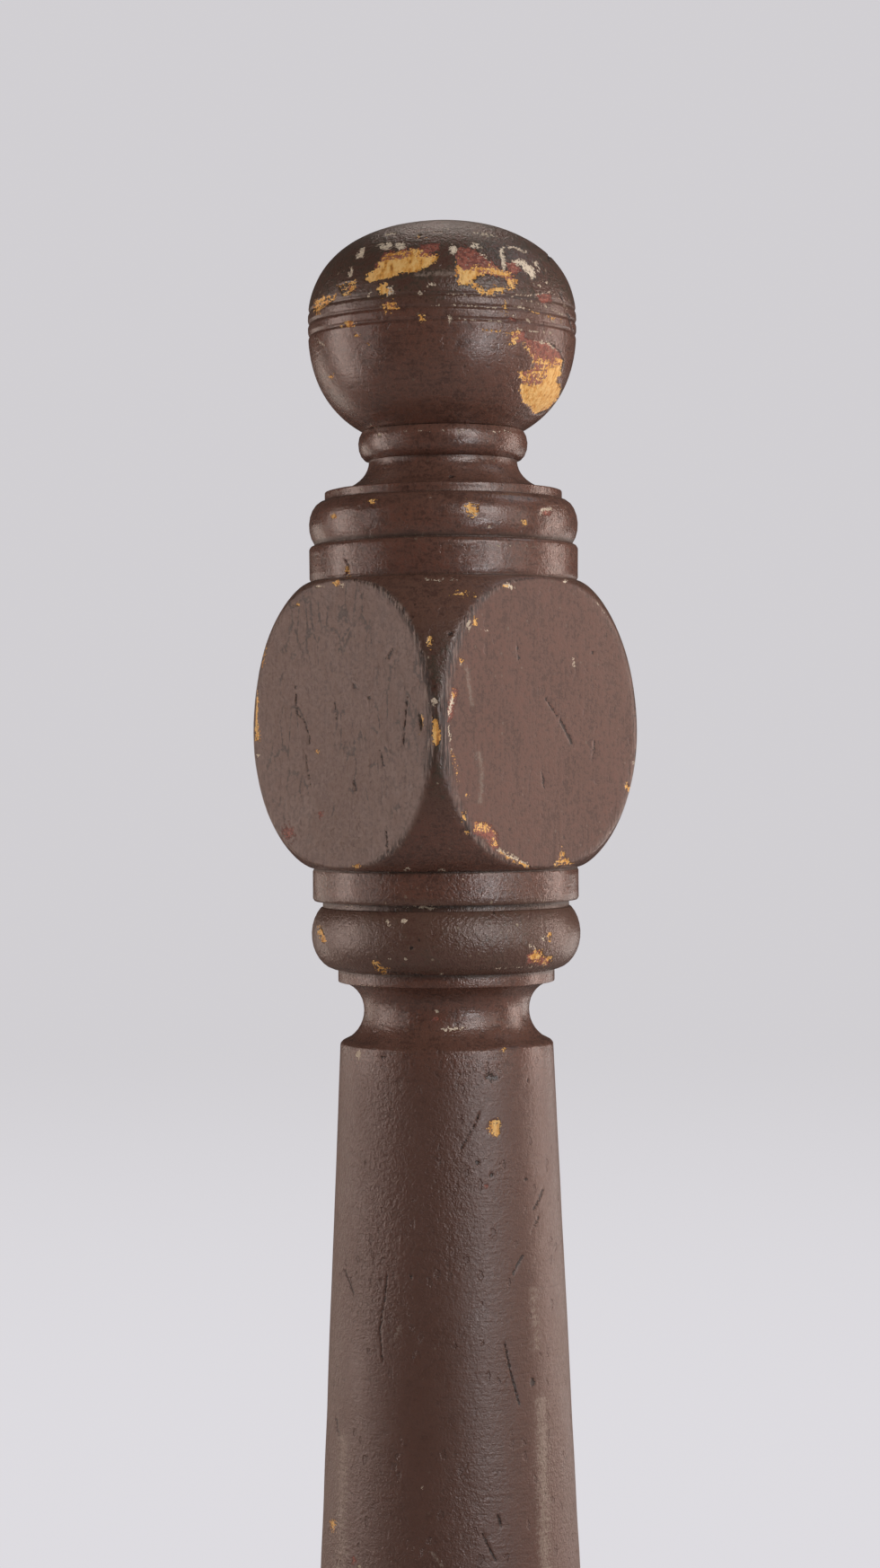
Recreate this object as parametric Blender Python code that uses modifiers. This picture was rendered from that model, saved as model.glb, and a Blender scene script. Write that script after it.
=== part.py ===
"""A newel post turned from one square timber.

From the top: a ball finial with three scored rings, a bead, a cavetto neck, a collar, a
square block for the handrail whose ends are turned off in a barrel curve, a lower collar, a
scotia, a tapered shaft, and a square foot under a repeat of the first collar.

Units are metres and +Z is up. The origin is the middle of the foot's underside, and the
timber's four flats face +X, -X, +Y and -Y.
"""

import math

import bmesh
import bpy

NAME = "newel_post"

# The square timber
STOCK_SIDE = 0.150
FOOT_ARRIS = 0.0015

# Depths below the timber's flats that the turned rounds are cut to
ROUND_CUT = 0.0027
LOWER_BAND_CUT = 0.0034
BALL_SEAT_CUT = 0.0322
NECK_CUT = 0.0351
UPPER_FILLET_CUT = 0.0112
QUIRK_CUT = 0.0058
GROOVE_CUT = 0.0087
LOWER_FILLET_CUT = 0.0167
WAIST_CUT = 0.0306
SHAFT_TOP_CUT = 0.0177
SHAFT_BOTTOM_CUT = 0.0034

# Depth below the timber's four arrises that the rail block's corners are turned to
CORNER_CUT = 0.0026

# The foot and the shoulder that takes it from square to round
FOOT_HEIGHT = 0.349
SHOULDER_HEIGHT = 0.060

# The shaft and the ledge at its head
SHAFT_HEIGHT = 0.3235
SHAFT_EDGE = 0.0014
LEDGE_RISE = 0.0020

# The scotia, whose lower sweep is rounder than its upper one
SCOTIA_LOWER_HEIGHT = 0.0145
SCOTIA_LOWER_RADIUS = 0.0179
SCOTIA_UPPER_HEIGHT = 0.0152

# The lower collar
LOWER_FILLET_HEIGHT = 0.0068
LOWER_TORUS_HEIGHT = 0.0334
LOWER_TORUS_HALF = 0.0189
GROOVE_HEIGHT = 0.0034
LOWER_BAND_HEIGHT = 0.0176

# The rail block, below and above its widest place
BLOCK_LOWER_HEIGHT = 0.0729
BLOCK_UPPER_HEIGHT = 0.0808
BLOCK_LOWER_FULLNESS = 0.63
BLOCK_UPPER_FULLNESS = 0.63

# The upper collar, which the foot repeats
BAND_HEIGHT = 0.0189
BAND_EDGE = 0.0016
QUIRK_HEIGHT = 0.0014
TORUS_HEIGHT = 0.0232
TORUS_HALF = 0.0133
FILLET_HEIGHT = 0.0048

# The neck and the bead under the ball
CAVETTO_HEIGHT = 0.0165
CAVETTO_LEDGE = 0.0015
BEAD_HEIGHT = 0.0158
BEAD_SUNK = 0.0022
BEAD_BULGE = 0.0058

# The ball, below and above its widest place, and its scored rings
BALL_DROP = 0.0576
BALL_RISE = 0.0545
BALL_FULLNESS = 2.25
BALL_UNDER_FULLNESS = 2.4
RING_COUNT = 3
RING_PITCH = 0.0065
RING_WIDTH = 0.0020
RING_DEPTH = 0.0009

# Facets: round the post, along each moulding, and along the ball and the barrel curves
TURN_STEPS = 48
FACET_DEG = 20.0
LONG_FACET_DEG = 12.0

# How far the turned blank and the cutter run past what they have to clear
OVERRUN = 0.004

PAINT_COLOUR = (0.105, 0.060, 0.046, 1.0)
PAINT_ROUGHNESS = 0.42


def radius_at(cut):
    """The radius of a round cut this deep below the timber's flats."""
    return STOCK_SIDE / 2 - cut


def spaced(start, end, facet):
    """Angles from start to end, both included, no further apart than one facet."""
    count = max(1, math.ceil(abs(end - start) / facet - 1e-6))
    return [start + (end - start) * i / count for i in range(count + 1)]


class Outline:
    """The post's outer side from the foot up, as (radius, height) points."""

    def __init__(self):
        self.points = []
        self.height = 0.0

    def skip(self, rise):
        """Goes up without a point."""
        self.height += rise

    def to(self, radius, rise=0.0):
        """Goes on to this radius, this much higher."""
        self.skip(rise)
        if not self.points or math.dist(self.points[-1], (radius, self.height)) > 1e-7:
            self.points.append((radius, self.height))

    def arc(self, centre, half_width, half_height, start, end, facet=FACET_DEG):
        """An elliptical arc from the present height. Angle 0 points away from the axis, 90 up."""
        middle = self.height - half_height * math.sin(math.radians(start))
        for angle in spaced(start, end, facet):
            turn = math.radians(angle)
            level = middle + half_height * math.sin(turn)
            self.to(centre + half_width * math.cos(turn), level - self.height)

    def barrel(self, edge, widest, height, fullness, upward):
        """Half of a barrel curve, from its edge up to its widest place, or from there to its edge."""
        foot = self.height
        angles = spaced(90, 0, LONG_FACET_DEG) if upward else spaced(0, 90, LONG_FACET_DEG)
        for angle in angles:
            away = math.sin(math.radians(angle))
            radius = edge + (widest - edge) * (1 - away * away) ** fullness
            level = foot + height * ((1 - away) if upward else away)
            self.to(radius, level - self.height)


def band(outline, radius, height):
    """A plain cylinder with both arrises eased."""
    outline.to(radius - BAND_EDGE / 2)
    outline.to(radius, BAND_EDGE)
    outline.to(radius, height - 2 * BAND_EDGE)
    outline.to(radius - BAND_EDGE / 2, BAND_EDGE)


def collar(outline):
    """Band, quirk, torus and fillet, from below."""
    rounded, fillet = radius_at(ROUND_CUT), radius_at(UPPER_FILLET_CUT)
    band(outline, rounded, BAND_HEIGHT)
    outline.to(radius_at(QUIRK_CUT), QUIRK_HEIGHT / 2)
    outline.skip(QUIRK_HEIGHT / 2)
    below = TORUS_HEIGHT - TORUS_HALF
    start = -math.degrees(math.asin(below / TORUS_HALF))
    outline.arc(fillet, rounded - fillet, TORUS_HALF, start, 90)
    outline.to(fillet, FILLET_HEIGHT)


def foot(outline):
    """The square foot's blank, wider than its arrises, and its turned shoulder."""
    blank = STOCK_SIDE / math.sqrt(2) + OVERRUN
    outline.to(0.0)
    outline.to(blank)
    outline.to(blank, FOOT_HEIGHT)
    edge = radius_at(ROUND_CUT) - BAND_EDGE / 2
    outline.barrel(edge, blank, SHOULDER_HEIGHT, BLOCK_UPPER_FULLNESS, upward=False)
    collar(outline)


def shaft(outline):
    """The tapered shaft, its eased head and the ledge inside it."""
    head = radius_at(SHAFT_TOP_CUT)
    outline.to(radius_at(SHAFT_BOTTOM_CUT))
    outline.to(head, SHAFT_HEIGHT - SHAFT_EDGE)
    outline.to(head - SHAFT_EDGE, SHAFT_EDGE)


def scotia(outline):
    """The hollow between the shaft's ledge and the lower fillet."""
    waist, fillet = radius_at(WAIST_CUT), radius_at(LOWER_FILLET_CUT)
    sweep = math.degrees(math.asin(SCOTIA_LOWER_HEIGHT / SCOTIA_LOWER_RADIUS))
    lip = waist + SCOTIA_LOWER_RADIUS * (1 - math.cos(math.radians(sweep)))
    outline.to(lip, LEDGE_RISE)
    outline.arc(waist + SCOTIA_LOWER_RADIUS, SCOTIA_LOWER_RADIUS, SCOTIA_LOWER_RADIUS, 180 + sweep, 180)
    outline.arc(fillet, fillet - waist, SCOTIA_UPPER_HEIGHT, 180, 90)


def lower_collar(outline):
    """Fillet, deep torus, groove and band, from below."""
    rounded, fillet = radius_at(ROUND_CUT), radius_at(LOWER_FILLET_CUT)
    outline.to(fillet, LOWER_FILLET_HEIGHT)
    above = LOWER_TORUS_HEIGHT - LOWER_TORUS_HALF
    end = math.degrees(math.asin(above / LOWER_TORUS_HALF))
    outline.arc(fillet, rounded - fillet, LOWER_TORUS_HALF, -90, end)
    outline.to(radius_at(GROOVE_CUT))
    outline.to(radius_at(GROOVE_CUT), GROOVE_HEIGHT)
    band(outline, radius_at(LOWER_BAND_CUT), LOWER_BAND_HEIGHT)


def rail_block(outline):
    """The barrel that the timber's four flats cut into the rail block."""
    widest = STOCK_SIDE / math.sqrt(2) - CORNER_CUT
    lower = radius_at(LOWER_BAND_CUT) - BAND_EDGE / 2
    upper = radius_at(ROUND_CUT) - BAND_EDGE / 2
    outline.barrel(lower, widest, BLOCK_LOWER_HEIGHT, BLOCK_LOWER_FULLNESS, upward=True)
    outline.barrel(upper, widest, BLOCK_UPPER_HEIGHT, BLOCK_UPPER_FULLNESS, upward=False)


def neck(outline):
    """The cavetto on the upper collar, and the bead above it."""
    waist, fillet = radius_at(NECK_CUT), radius_at(UPPER_FILLET_CUT)
    flare = fillet - CAVETTO_LEDGE - waist
    outline.arc(waist + flare, flare, CAVETTO_HEIGHT, 270, 180)
    half = (BEAD_HEIGHT + BEAD_SUNK) / 2
    end = math.degrees(math.asin((BEAD_HEIGHT - half) / half))
    outline.arc(waist, BEAD_BULGE, half, -90, end)


def ball(outline):
    """The flattened ball, full above and below, with its scored rings."""
    widest, seat = radius_at(ROUND_CUT), radius_at(BALL_SEAT_CUT)
    full = BALL_UNDER_FULLNESS
    under = BALL_DROP / (1 - (seat / widest) ** full) ** (1 / full)
    equator = outline.height + BALL_DROP

    def radius(level):
        reach, fullness = (under, full) if level < 0 else (BALL_RISE, BALL_FULLNESS)
        return widest * (1 - (abs(level) / reach) ** fullness) ** (1 / fullness)

    def at(level, cut=0.0):
        outline.to(radius(level) - cut, equator + level - outline.height)

    scored = (RING_COUNT - 1) / 2 * RING_PITCH + RING_WIDTH / 2
    start = math.degrees(math.asin((BALL_DROP / under) ** (full / 2)))
    end = math.degrees(math.asin((scored / under) ** (full / 2)))
    for angle in spaced(start, end, LONG_FACET_DEG):
        at(-under * math.sin(math.radians(angle)) ** (2 / full))
    for ring in range(RING_COUNT):
        middle = (ring - (RING_COUNT - 1) / 2) * RING_PITCH
        at(middle - RING_WIDTH / 2)
        at(middle, RING_DEPTH)
        at(middle + RING_WIDTH / 2)
    power = 2 / BALL_FULLNESS
    start = math.degrees(math.asin((scored / BALL_RISE) ** (1 / power)))
    for angle in spaced(start, 90, LONG_FACET_DEG):
        at(BALL_RISE * math.sin(math.radians(angle)) ** power)


def post_outline():
    """The whole outer side, from the pole of the ball down to the middle of the underside."""
    outline = Outline()
    for build in (foot, shaft, scotia, lower_collar, rail_block, collar, neck, ball):
        build(outline)
    return outline.points[::-1]


def clear_scene():
    """Removes what the startup scene holds."""
    for item in list(bpy.data.objects):
        bpy.data.objects.remove(item, do_unlink=True)


def new_collection(name):
    """A new collection in the scene."""
    made = bpy.data.collections.new(name)
    bpy.context.scene.collection.children.link(made)
    return made


def turned_blank(name, outline, collection):
    """The outline as an edge chain with a Screw modifier round Z."""
    mesh = bpy.data.meshes.new(name)
    chain = bmesh.new()
    corners = [chain.verts.new((radius, 0.0, height)) for radius, height in outline]
    for first, second in zip(corners, corners[1:]):
        chain.edges.new((first, second))
    chain.to_mesh(mesh)
    chain.free()
    turned = bpy.data.objects.new(name, mesh)
    collection.objects.link(turned)
    screw = turned.modifiers.new("turning", "SCREW")
    screw.axis = "Z"
    screw.steps = TURN_STEPS
    screw.render_steps = TURN_STEPS
    screw.use_merge_vertices = True
    screw.merge_threshold = 0.0001
    return turned


def square_stock(height, collection):
    """The timber's own square prism, a cutter that runs past both ends of the post."""
    mesh = bpy.data.meshes.new("stock")
    prism = bmesh.new()
    bmesh.ops.create_cube(prism, size=1.0)
    length = height + 2 * OVERRUN
    bmesh.ops.scale(prism, vec=(STOCK_SIDE, STOCK_SIDE, length), verts=prism.verts)
    bmesh.ops.translate(prism, vec=(0, 0, height / 2), verts=prism.verts)
    upright = [e for e in prism.edges if abs(e.verts[0].co.z - e.verts[1].co.z) > height]
    bmesh.ops.bevel(prism, geom=upright, offset=FOOT_ARRIS, segments=2, profile=0.5, affect="EDGES")
    prism.to_mesh(mesh)
    prism.free()
    stock = bpy.data.objects.new("stock", mesh)
    stock.hide_render = True
    stock.display_type = "WIRE"
    collection.objects.link(stock)
    return stock


def painted_wood():
    """Old brown gloss over softwood."""
    paint = bpy.data.materials.new("old_brown_paint")
    paint.use_nodes = True
    shader = paint.node_tree.nodes["Principled BSDF"]
    shader.inputs["Base Color"].default_value = PAINT_COLOUR
    shader.inputs["Roughness"].default_value = PAINT_ROUGHNESS
    shader.inputs["Metallic"].default_value = 0.0
    return paint


def main():
    """Builds the post."""
    clear_scene()
    parts, cutters = new_collection(NAME), new_collection("cutters")
    cutters.hide_render = True
    outline = post_outline()
    post = turned_blank(NAME, outline, parts)
    post.data.materials.append(painted_wood())
    squaring = post.modifiers.new("squaring", "BOOLEAN")
    squaring.operation = "INTERSECT"
    squaring.solver = "EXACT"
    squaring.object = square_stock(outline[0][1], cutters)


main()
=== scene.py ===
"""The looks of a turned newel post, in old brown gloss that has chipped through its older coats.

One piece carries everything: it is drawn as an outline, spun, flattened to the square timber's
four faces, refined where the paint is broken, and then worn. Lengths are metres, except where
a name says mm or px. Places marked px are read off the 980 x 1746 photograph.
"""

import itertools
import logging
import math
from dataclasses import dataclass, field
from enum import Enum
from typing import Callable, Iterable, Sequence, Union

import bpy
import numpy as np
from mathutils import Matrix, Vector


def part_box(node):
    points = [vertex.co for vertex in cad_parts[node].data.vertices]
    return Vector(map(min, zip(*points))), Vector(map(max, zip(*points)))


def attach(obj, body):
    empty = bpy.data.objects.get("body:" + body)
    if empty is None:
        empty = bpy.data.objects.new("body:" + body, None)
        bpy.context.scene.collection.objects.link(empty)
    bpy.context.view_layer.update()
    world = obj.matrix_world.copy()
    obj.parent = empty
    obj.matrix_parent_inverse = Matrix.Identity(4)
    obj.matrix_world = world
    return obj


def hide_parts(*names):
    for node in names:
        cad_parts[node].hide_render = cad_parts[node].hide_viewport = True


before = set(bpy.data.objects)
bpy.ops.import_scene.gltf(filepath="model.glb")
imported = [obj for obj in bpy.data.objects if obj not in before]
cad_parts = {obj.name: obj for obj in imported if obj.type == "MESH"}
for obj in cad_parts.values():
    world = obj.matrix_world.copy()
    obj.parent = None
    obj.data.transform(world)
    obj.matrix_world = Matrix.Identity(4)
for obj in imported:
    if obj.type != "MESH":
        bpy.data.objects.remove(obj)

LOG = logging.getLogger("newel_post")
MM = 0.001
FAR_MM = 6.0

Point2 = tuple[float, float]
Point3 = tuple[float, float, float]
Number = Union[float, "Signal"]


@dataclass(frozen=True)
class Sight:
    """Where the photograph was taken from, found from the sag of the mouldings' rings.

    The post is upright, its axis crosses the horizon at axis_px, and one photograph pixel at
    the axis is px_size metres.
    """

    azimuth: float = 47.1
    roll: float = 0.385
    width_px: float = 980.0
    height_px: float = 1746.0
    focal_px: float = 3500.0
    axis_px: Point2 = (495.7, 850.0)
    crown_px: float = 250.0
    px_size: float = 0.484 * MM

    @property
    def distance(self) -> float:
        """The camera's distance from the axis."""
        return self.focal_px * self.px_size

    def matrix(self, crown: float) -> Matrix:
        """The camera's place and turn.

        Args:
            crown: the height of the post's top.

        Returns:
            The camera's world matrix.
        """
        turn = math.radians(self.azimuth)
        eye_height = crown - (self.axis_px[1] - self.crown_px) * self.px_size
        eye = Vector((math.sin(turn) * self.distance, -math.cos(turn) * self.distance, eye_height))
        aside = math.atan((self.axis_px[0] - self.width_px / 2) / self.focal_px)
        below = math.atan((self.height_px / 2 - self.axis_px[1]) / self.focal_px)
        facing = Matrix.Rotation(turn + aside, 4, "Z") @ Matrix.Rotation(math.pi / 2 - below, 4, "X")
        return Matrix.Translation(eye) @ facing @ Matrix.Rotation(-math.radians(self.roll), 4, "Z")

    def project(self, points: np.ndarray, crown: float) -> np.ndarray:
        """Photograph pixels of points on the post.

        Args:
            points: an N x 3 array in metres.
            crown: the height of the post's top.

        Returns:
            An N x 2 array of x and y in pixels.
        """
        view = np.array(self.matrix(crown).inverted())
        seen = points @ view[:3, :3].T + view[:3, 3]
        scale = self.focal_px / -seen[:, 2]
        return np.c_[self.width_px / 2 + seen[:, 0] * scale, self.height_px / 2 - seen[:, 1] * scale]

    def facing(self, points: np.ndarray, normals: np.ndarray, crown: float) -> np.ndarray:
        """How squarely each point faces the camera, from 1 through 0 at the outline to -1."""
        ray = np.array(self.matrix(crown).translation) - points
        ray /= np.linalg.norm(ray, axis=1, keepdims=True)
        return np.sum(ray * normals, axis=1)


class Layer(Enum):
    """What shows where the coats above it are gone."""

    MAROON = "maroon"
    CREAM = "cream"
    WOOD = "wood"
    SPLIT = "split"
    SCUFF = "scuff"


@dataclass(frozen=True)
class Loss:
    """A place where paint is gone, by its outline on the photograph.

    A wide fringe gives a crumbled edge with flecks of the layer around it, and a depth near 0
    leaves the inside speckled rather than bare.
    """

    layer: Layer
    outline_px: tuple[Point2, ...]
    fringe: float = 1.0
    depth: float = 9.0

    def distance_px(self, places: np.ndarray) -> np.ndarray:
        """Signed distance to the outline, less than zero inside."""
        corners = np.array(self.outline_px)
        following = np.roll(corners, -1, axis=0)
        nearest = np.full(len(places), 1e9)
        inside = np.zeros(len(places), bool)
        for (ax, ay), (bx, by) in zip(corners, following):
            nearest = np.minimum(nearest, segment_distance(places, (ax, ay), (bx, by)))
            spans = (places[:, 1] < ay) != (places[:, 1] < by)
            rise = by - ay if by != ay else 1e-9
            inside ^= spans & (places[:, 0] < ax + (places[:, 1] - ay) * (bx - ax) / rise)
        return np.where(inside, -nearest, nearest)


@dataclass(frozen=True)
class Fleck:
    """A small oval loss."""

    layer: Layer
    x_px: float
    y_px: float
    width_px: float
    height_px: float
    fringe: float = 1.0

    def distance_px(self, places: np.ndarray) -> np.ndarray:
        """Roughly the signed distance to the oval's edge, less than zero inside."""
        half = np.array((self.width_px, self.height_px)) / 2
        away = np.linalg.norm((places - (self.x_px, self.y_px)) / half, axis=1)
        return (away - 1) * half.min()


@dataclass(frozen=True)
class Line:
    """A crack, a scratch, a scuff or a run of flecks along a path.

    A width below zero leaves only scattered flecks.
    """

    layer: Layer
    path_px: tuple[Point2, ...]
    width_px: float = 1.0
    fringe: float = 1.0

    def distance_px(self, places: np.ndarray) -> np.ndarray:
        """Signed distance to the line's edge, less than zero inside."""
        nearest = np.full(len(places), 1e9)
        for start, end in zip(self.path_px, self.path_px[1:]):
            nearest = np.minimum(nearest, segment_distance(places, start, end))
        return nearest - self.width_px / 2


Mark = Union[Loss, Fleck, Line]


@dataclass(frozen=True)
class HiddenLoss:
    """An oval loss on a side that the photograph doesn't show, by its turn from -Y and its level."""

    layer: Layer
    turn: float
    level: float
    width_mm: float
    height_mm: float

    def distance_mm(self, places: np.ndarray) -> np.ndarray:
        """Roughly the signed distance to the oval's edge, less than zero inside."""
        aside = np.arctan2(places[:, 0], -places[:, 1]) - math.radians(self.turn)
        aside = (aside + math.pi) % (2 * math.pi) - math.pi
        across = aside * np.hypot(places[:, 0], places[:, 1]) / (self.width_mm * MM / 2)
        along = (places[:, 2] - self.level) / (self.height_mm * MM / 2)
        return (np.hypot(across, along) - 1) * min(self.width_mm, self.height_mm) / 2


def segment_distance(places: np.ndarray, start: Sequence[float], end: Sequence[float]) -> np.ndarray:
    """Distance of each place to a straight segment."""
    start, along = np.array(start, float), np.array(end, float) - np.array(start, float)
    share = np.clip((places - start) @ along / max(along @ along, 1e-9), 0, 1)
    return np.linalg.norm(places - start - share[:, None] * along, axis=1)


def smoothstep(low: float, high: float, value: np.ndarray) -> np.ndarray:
    """0 below low, 1 above high, and a smooth rise between."""
    share = np.clip((value - low) / (high - low), 0, 1)
    return share * share * (3 - 2 * share)


def lattice_noise(points: np.ndarray, seed: int) -> np.ndarray:
    """Smooth noise from -1 to 1 with one cell for each unit.

    Args:
        points: an N x 3 array, already scaled.
        seed: a whole number that picks the pattern.

    Returns:
        An array of N values.
    """
    cell = np.floor(points).astype(np.int64)
    part = points - cell
    part = part * part * part * (part * (part * 6 - 15) + 10)
    total = np.zeros(len(points))
    for corner in itertools.product((0, 1), repeat=3):
        at = cell + corner
        mixed = (at[:, 0] * 73856093) ^ (at[:, 1] * 19349663) ^ (at[:, 2] * 83492791) ^ (seed * 9176213)
        mixed = ((mixed ^ (mixed >> 13)) * 1274126177) & 0xFFFFFFFF
        value = ((mixed ^ (mixed >> 16)) & 0xFFFF) / 32767.5 - 1
        weight = np.prod(np.where(corner, part, 1 - part), axis=1)
        total += weight * value
    return total


@dataclass(frozen=True)
class Timber:
    """The square timber that the whole post is turned from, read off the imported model."""

    side: float
    height: float
    corner_cut: float = 2.6 * MM
    round_cut: float = 2.7 * MM
    lower_band_cut: float = 3.4 * MM
    band_edge: float = 1.6 * MM

    @classmethod
    def measured(cls) -> "Timber":
        """The timber's side and the post's height, from the CAD node's box."""
        low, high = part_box("newel_post")
        return cls(side=high[0] - low[0], height=high[2] - low[2])

    def radius(self, cut: float) -> float:
        """The radius of a round that is cut this deep below the flats."""
        return self.side / 2 - cut

    @property
    def round(self) -> float:
        """The largest round, which the ball, the tori and the bands share."""
        return self.radius(self.round_cut)

    @property
    def lower_band(self) -> float:
        """The lower band's radius."""
        return self.radius(self.lower_band_cut)

    @property
    def barrel(self) -> float:
        """The radius that the rail block's corners are turned to."""
        return self.side / math.sqrt(2) - self.corner_cut


class Pen:
    """Draws the outline from the foot up, as (radius, height) points no further apart than step."""

    def __init__(self) -> None:
        self.points: list[Point2] = []
        self.height = 0.0
        self.step = 3.0 * MM

    def to(self, radius: float, rise: float = 0.0) -> None:
        """A straight run to this radius, this much higher."""
        if self.points:
            from_radius, from_height = self.points[-1]
            target = self.height + rise
            length = math.dist((from_radius, from_height), (radius, target))
            if length < 1e-7:
                return
            count = max(1, math.ceil(length / self.step - 1e-6))
            for i in range(1, count + 1):
                share = i / count
                at_radius = from_radius + (radius - from_radius) * share
                self.points.append((at_radius, from_height + (target - from_height) * share))
        else:
            self.points.append((radius, self.height + rise))
        self.height += rise

    def skip(self, rise: float) -> None:
        """Goes up without a point."""
        self.height += rise

    def curve(self, place: Callable[[float], Point2], length: float) -> None:
        """Points along a curve, given its place at shares from 0 to 1 as (radius, rise)."""
        foot = self.height
        count = max(3, math.ceil(length / self.step))
        for i in range(count + 1):
            radius, rise = place(i / count)
            if not self.points or math.dist(self.points[-1], (radius, foot + rise)) > 1e-7:
                self.points.append((radius, foot + rise))
        self.height = foot + place(1.0)[1]

    def arc(self, centre: float, width: float, height: float, start: float, end: float) -> None:
        """An elliptical arc.

        Args:
            centre: the radius of the ellipse's middle.
            width: its half-width.
            height: its half-height.
            start: the angle to start from in degrees, where 0 points away from the axis and 90 up.
            end: the angle to end at.
        """
        base = height * math.sin(math.radians(start))

        def place(share: float) -> Point2:
            turn = math.radians(start + (end - start) * share)
            return centre + width * math.cos(turn), height * math.sin(turn) - base

        self.curve(place, math.radians(abs(end - start)) * (abs(width) + height) / 2)

    def barrel(self, edge: float, widest: float, height: float, fullness: float, upward: bool) -> None:
        """Half of a barrel curve, up to its widest place, or from there up to its edge."""

        def place(share: float) -> Point2:
            away = math.sin(math.radians(90 * (1 - share if upward else share)))
            radius = edge + (widest - edge) * (1 - away * away) ** fullness
            return radius, height * ((1 - away) if upward else away)

        self.curve(place, math.hypot(height, widest - edge) * 1.1)

    def softened(self, radius: float, least_deg: float) -> list[Point2]:
        """The outline with its sharp corners rounded as thick paint rounds them."""
        out = [self.points[0]]
        for before, at, after in zip(self.points, self.points[1:], self.points[2:]):
            into, onward = np.subtract(at, before), np.subtract(after, at)
            long_in, long_on = np.linalg.norm(into), np.linalg.norm(onward)
            cosine = np.clip(into @ onward / (long_in * long_on), -1, 1)
            if math.degrees(math.acos(cosine)) < least_deg or at[0] > 0.102:
                out.append(at)
                continue
            start = np.subtract(at, into / long_in * min(radius, long_in * 0.45))
            end = np.add(at, onward / long_on * min(radius, long_on * 0.45))
            middle = (start + end) / 4 + np.array(at) / 2
            out += [tuple(start), tuple(middle), tuple(end)]
        return out + [self.points[-1]]


@dataclass
class Collar:
    """A band, a quirk, a torus and a fillet, over the rail block and again over the foot."""

    band_height: float = 18.9 * MM
    quirk_cut: float = 5.8 * MM
    quirk_height: float = 1.4 * MM
    torus_height: float = 23.2 * MM
    torus_half: float = 13.3 * MM
    fillet_cut: float = 11.2 * MM
    fillet_height: float = 4.8 * MM
    step: float = 3.4 * MM
    marks: tuple[Mark, ...] = (
        Loss(Layer.WOOD, ((518, 563), (525, 560), (532, 562), (533, 569), (526, 574), (519, 571)), 1.8),
        Fleck(Layer.CREAM, 530, 572, 5, 4, 2.0),
        Fleck(Layer.WOOD, 413, 559, 5, 4),
        Fleck(Layer.WOOD, 584, 581, 3, 4),
        Fleck(Layer.WOOD, 372, 574, 3, 3),
        Fleck(Layer.MAROON, 608, 571, 10, 6),
        Line(Layer.CREAM, ((602, 573), (604, 567), (612, 567)), 1.6, 1.4),
        Fleck(Layer.CREAM, 545, 586, 2, 2),
        Fleck(Layer.CREAM, 479, 553, 2, 2),
        Fleck(Layer.WOOD, 387, 635, 3, 8),
        Line(Layer.SPLIT, ((384, 622), (388, 630), (386, 640)), 1.4),
        Line(Layer.CREAM, ((370, 548), (420, 543)), -1.6, 1.3),
        Line(Layer.CREAM, ((540, 607), (600, 609)), -1.6, 1.3),
    )

    def draw(self, pen: Pen, timber: Timber) -> None:
        """Draws it from below.

        Args:
            pen: the outline's pen.
            timber: the timber it is cut from.
        """
        pen.step = self.step
        draw_band(pen, timber, timber.round, self.band_height)
        fillet = timber.radius(self.fillet_cut)
        pen.to(timber.radius(self.quirk_cut), self.quirk_height / 2)
        pen.skip(self.quirk_height / 2)
        start = -math.degrees(math.asin((self.torus_height - self.torus_half) / self.torus_half))
        pen.arc(fillet, timber.round - fillet, self.torus_half, start, 90)
        pen.to(fillet, self.fillet_height)


def draw_band(pen: Pen, timber: Timber, radius: float, height: float) -> None:
    """A plain cylinder with both arrises eased."""
    pen.to(radius - timber.band_edge / 2)
    pen.to(radius, timber.band_edge)
    pen.to(radius, height - 2 * timber.band_edge)
    pen.to(radius - timber.band_edge / 2, timber.band_edge)


@dataclass
class Foot:
    """The square foot, below the photograph's edge, with the shoulder that turns it round."""

    height: float = 349.0 * MM
    shoulder: float = 60.0 * MM
    fullness: float = 0.63
    overrun: float = 4.0 * MM
    step: float = 30.0 * MM
    shoulder_step: float = 6.0 * MM

    def draw(self, pen: Pen, timber: Timber) -> None:
        """Draws the underside, the square blank and the shoulder."""
        pen.step = self.step
        blank = timber.side / math.sqrt(2) + self.overrun
        pen.to(0.0)
        pen.to(blank)
        pen.to(blank, self.height)
        pen.step = self.shoulder_step
        edge = timber.round - timber.band_edge / 2
        pen.barrel(edge, blank, self.shoulder, self.fullness, upward=False)


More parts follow.
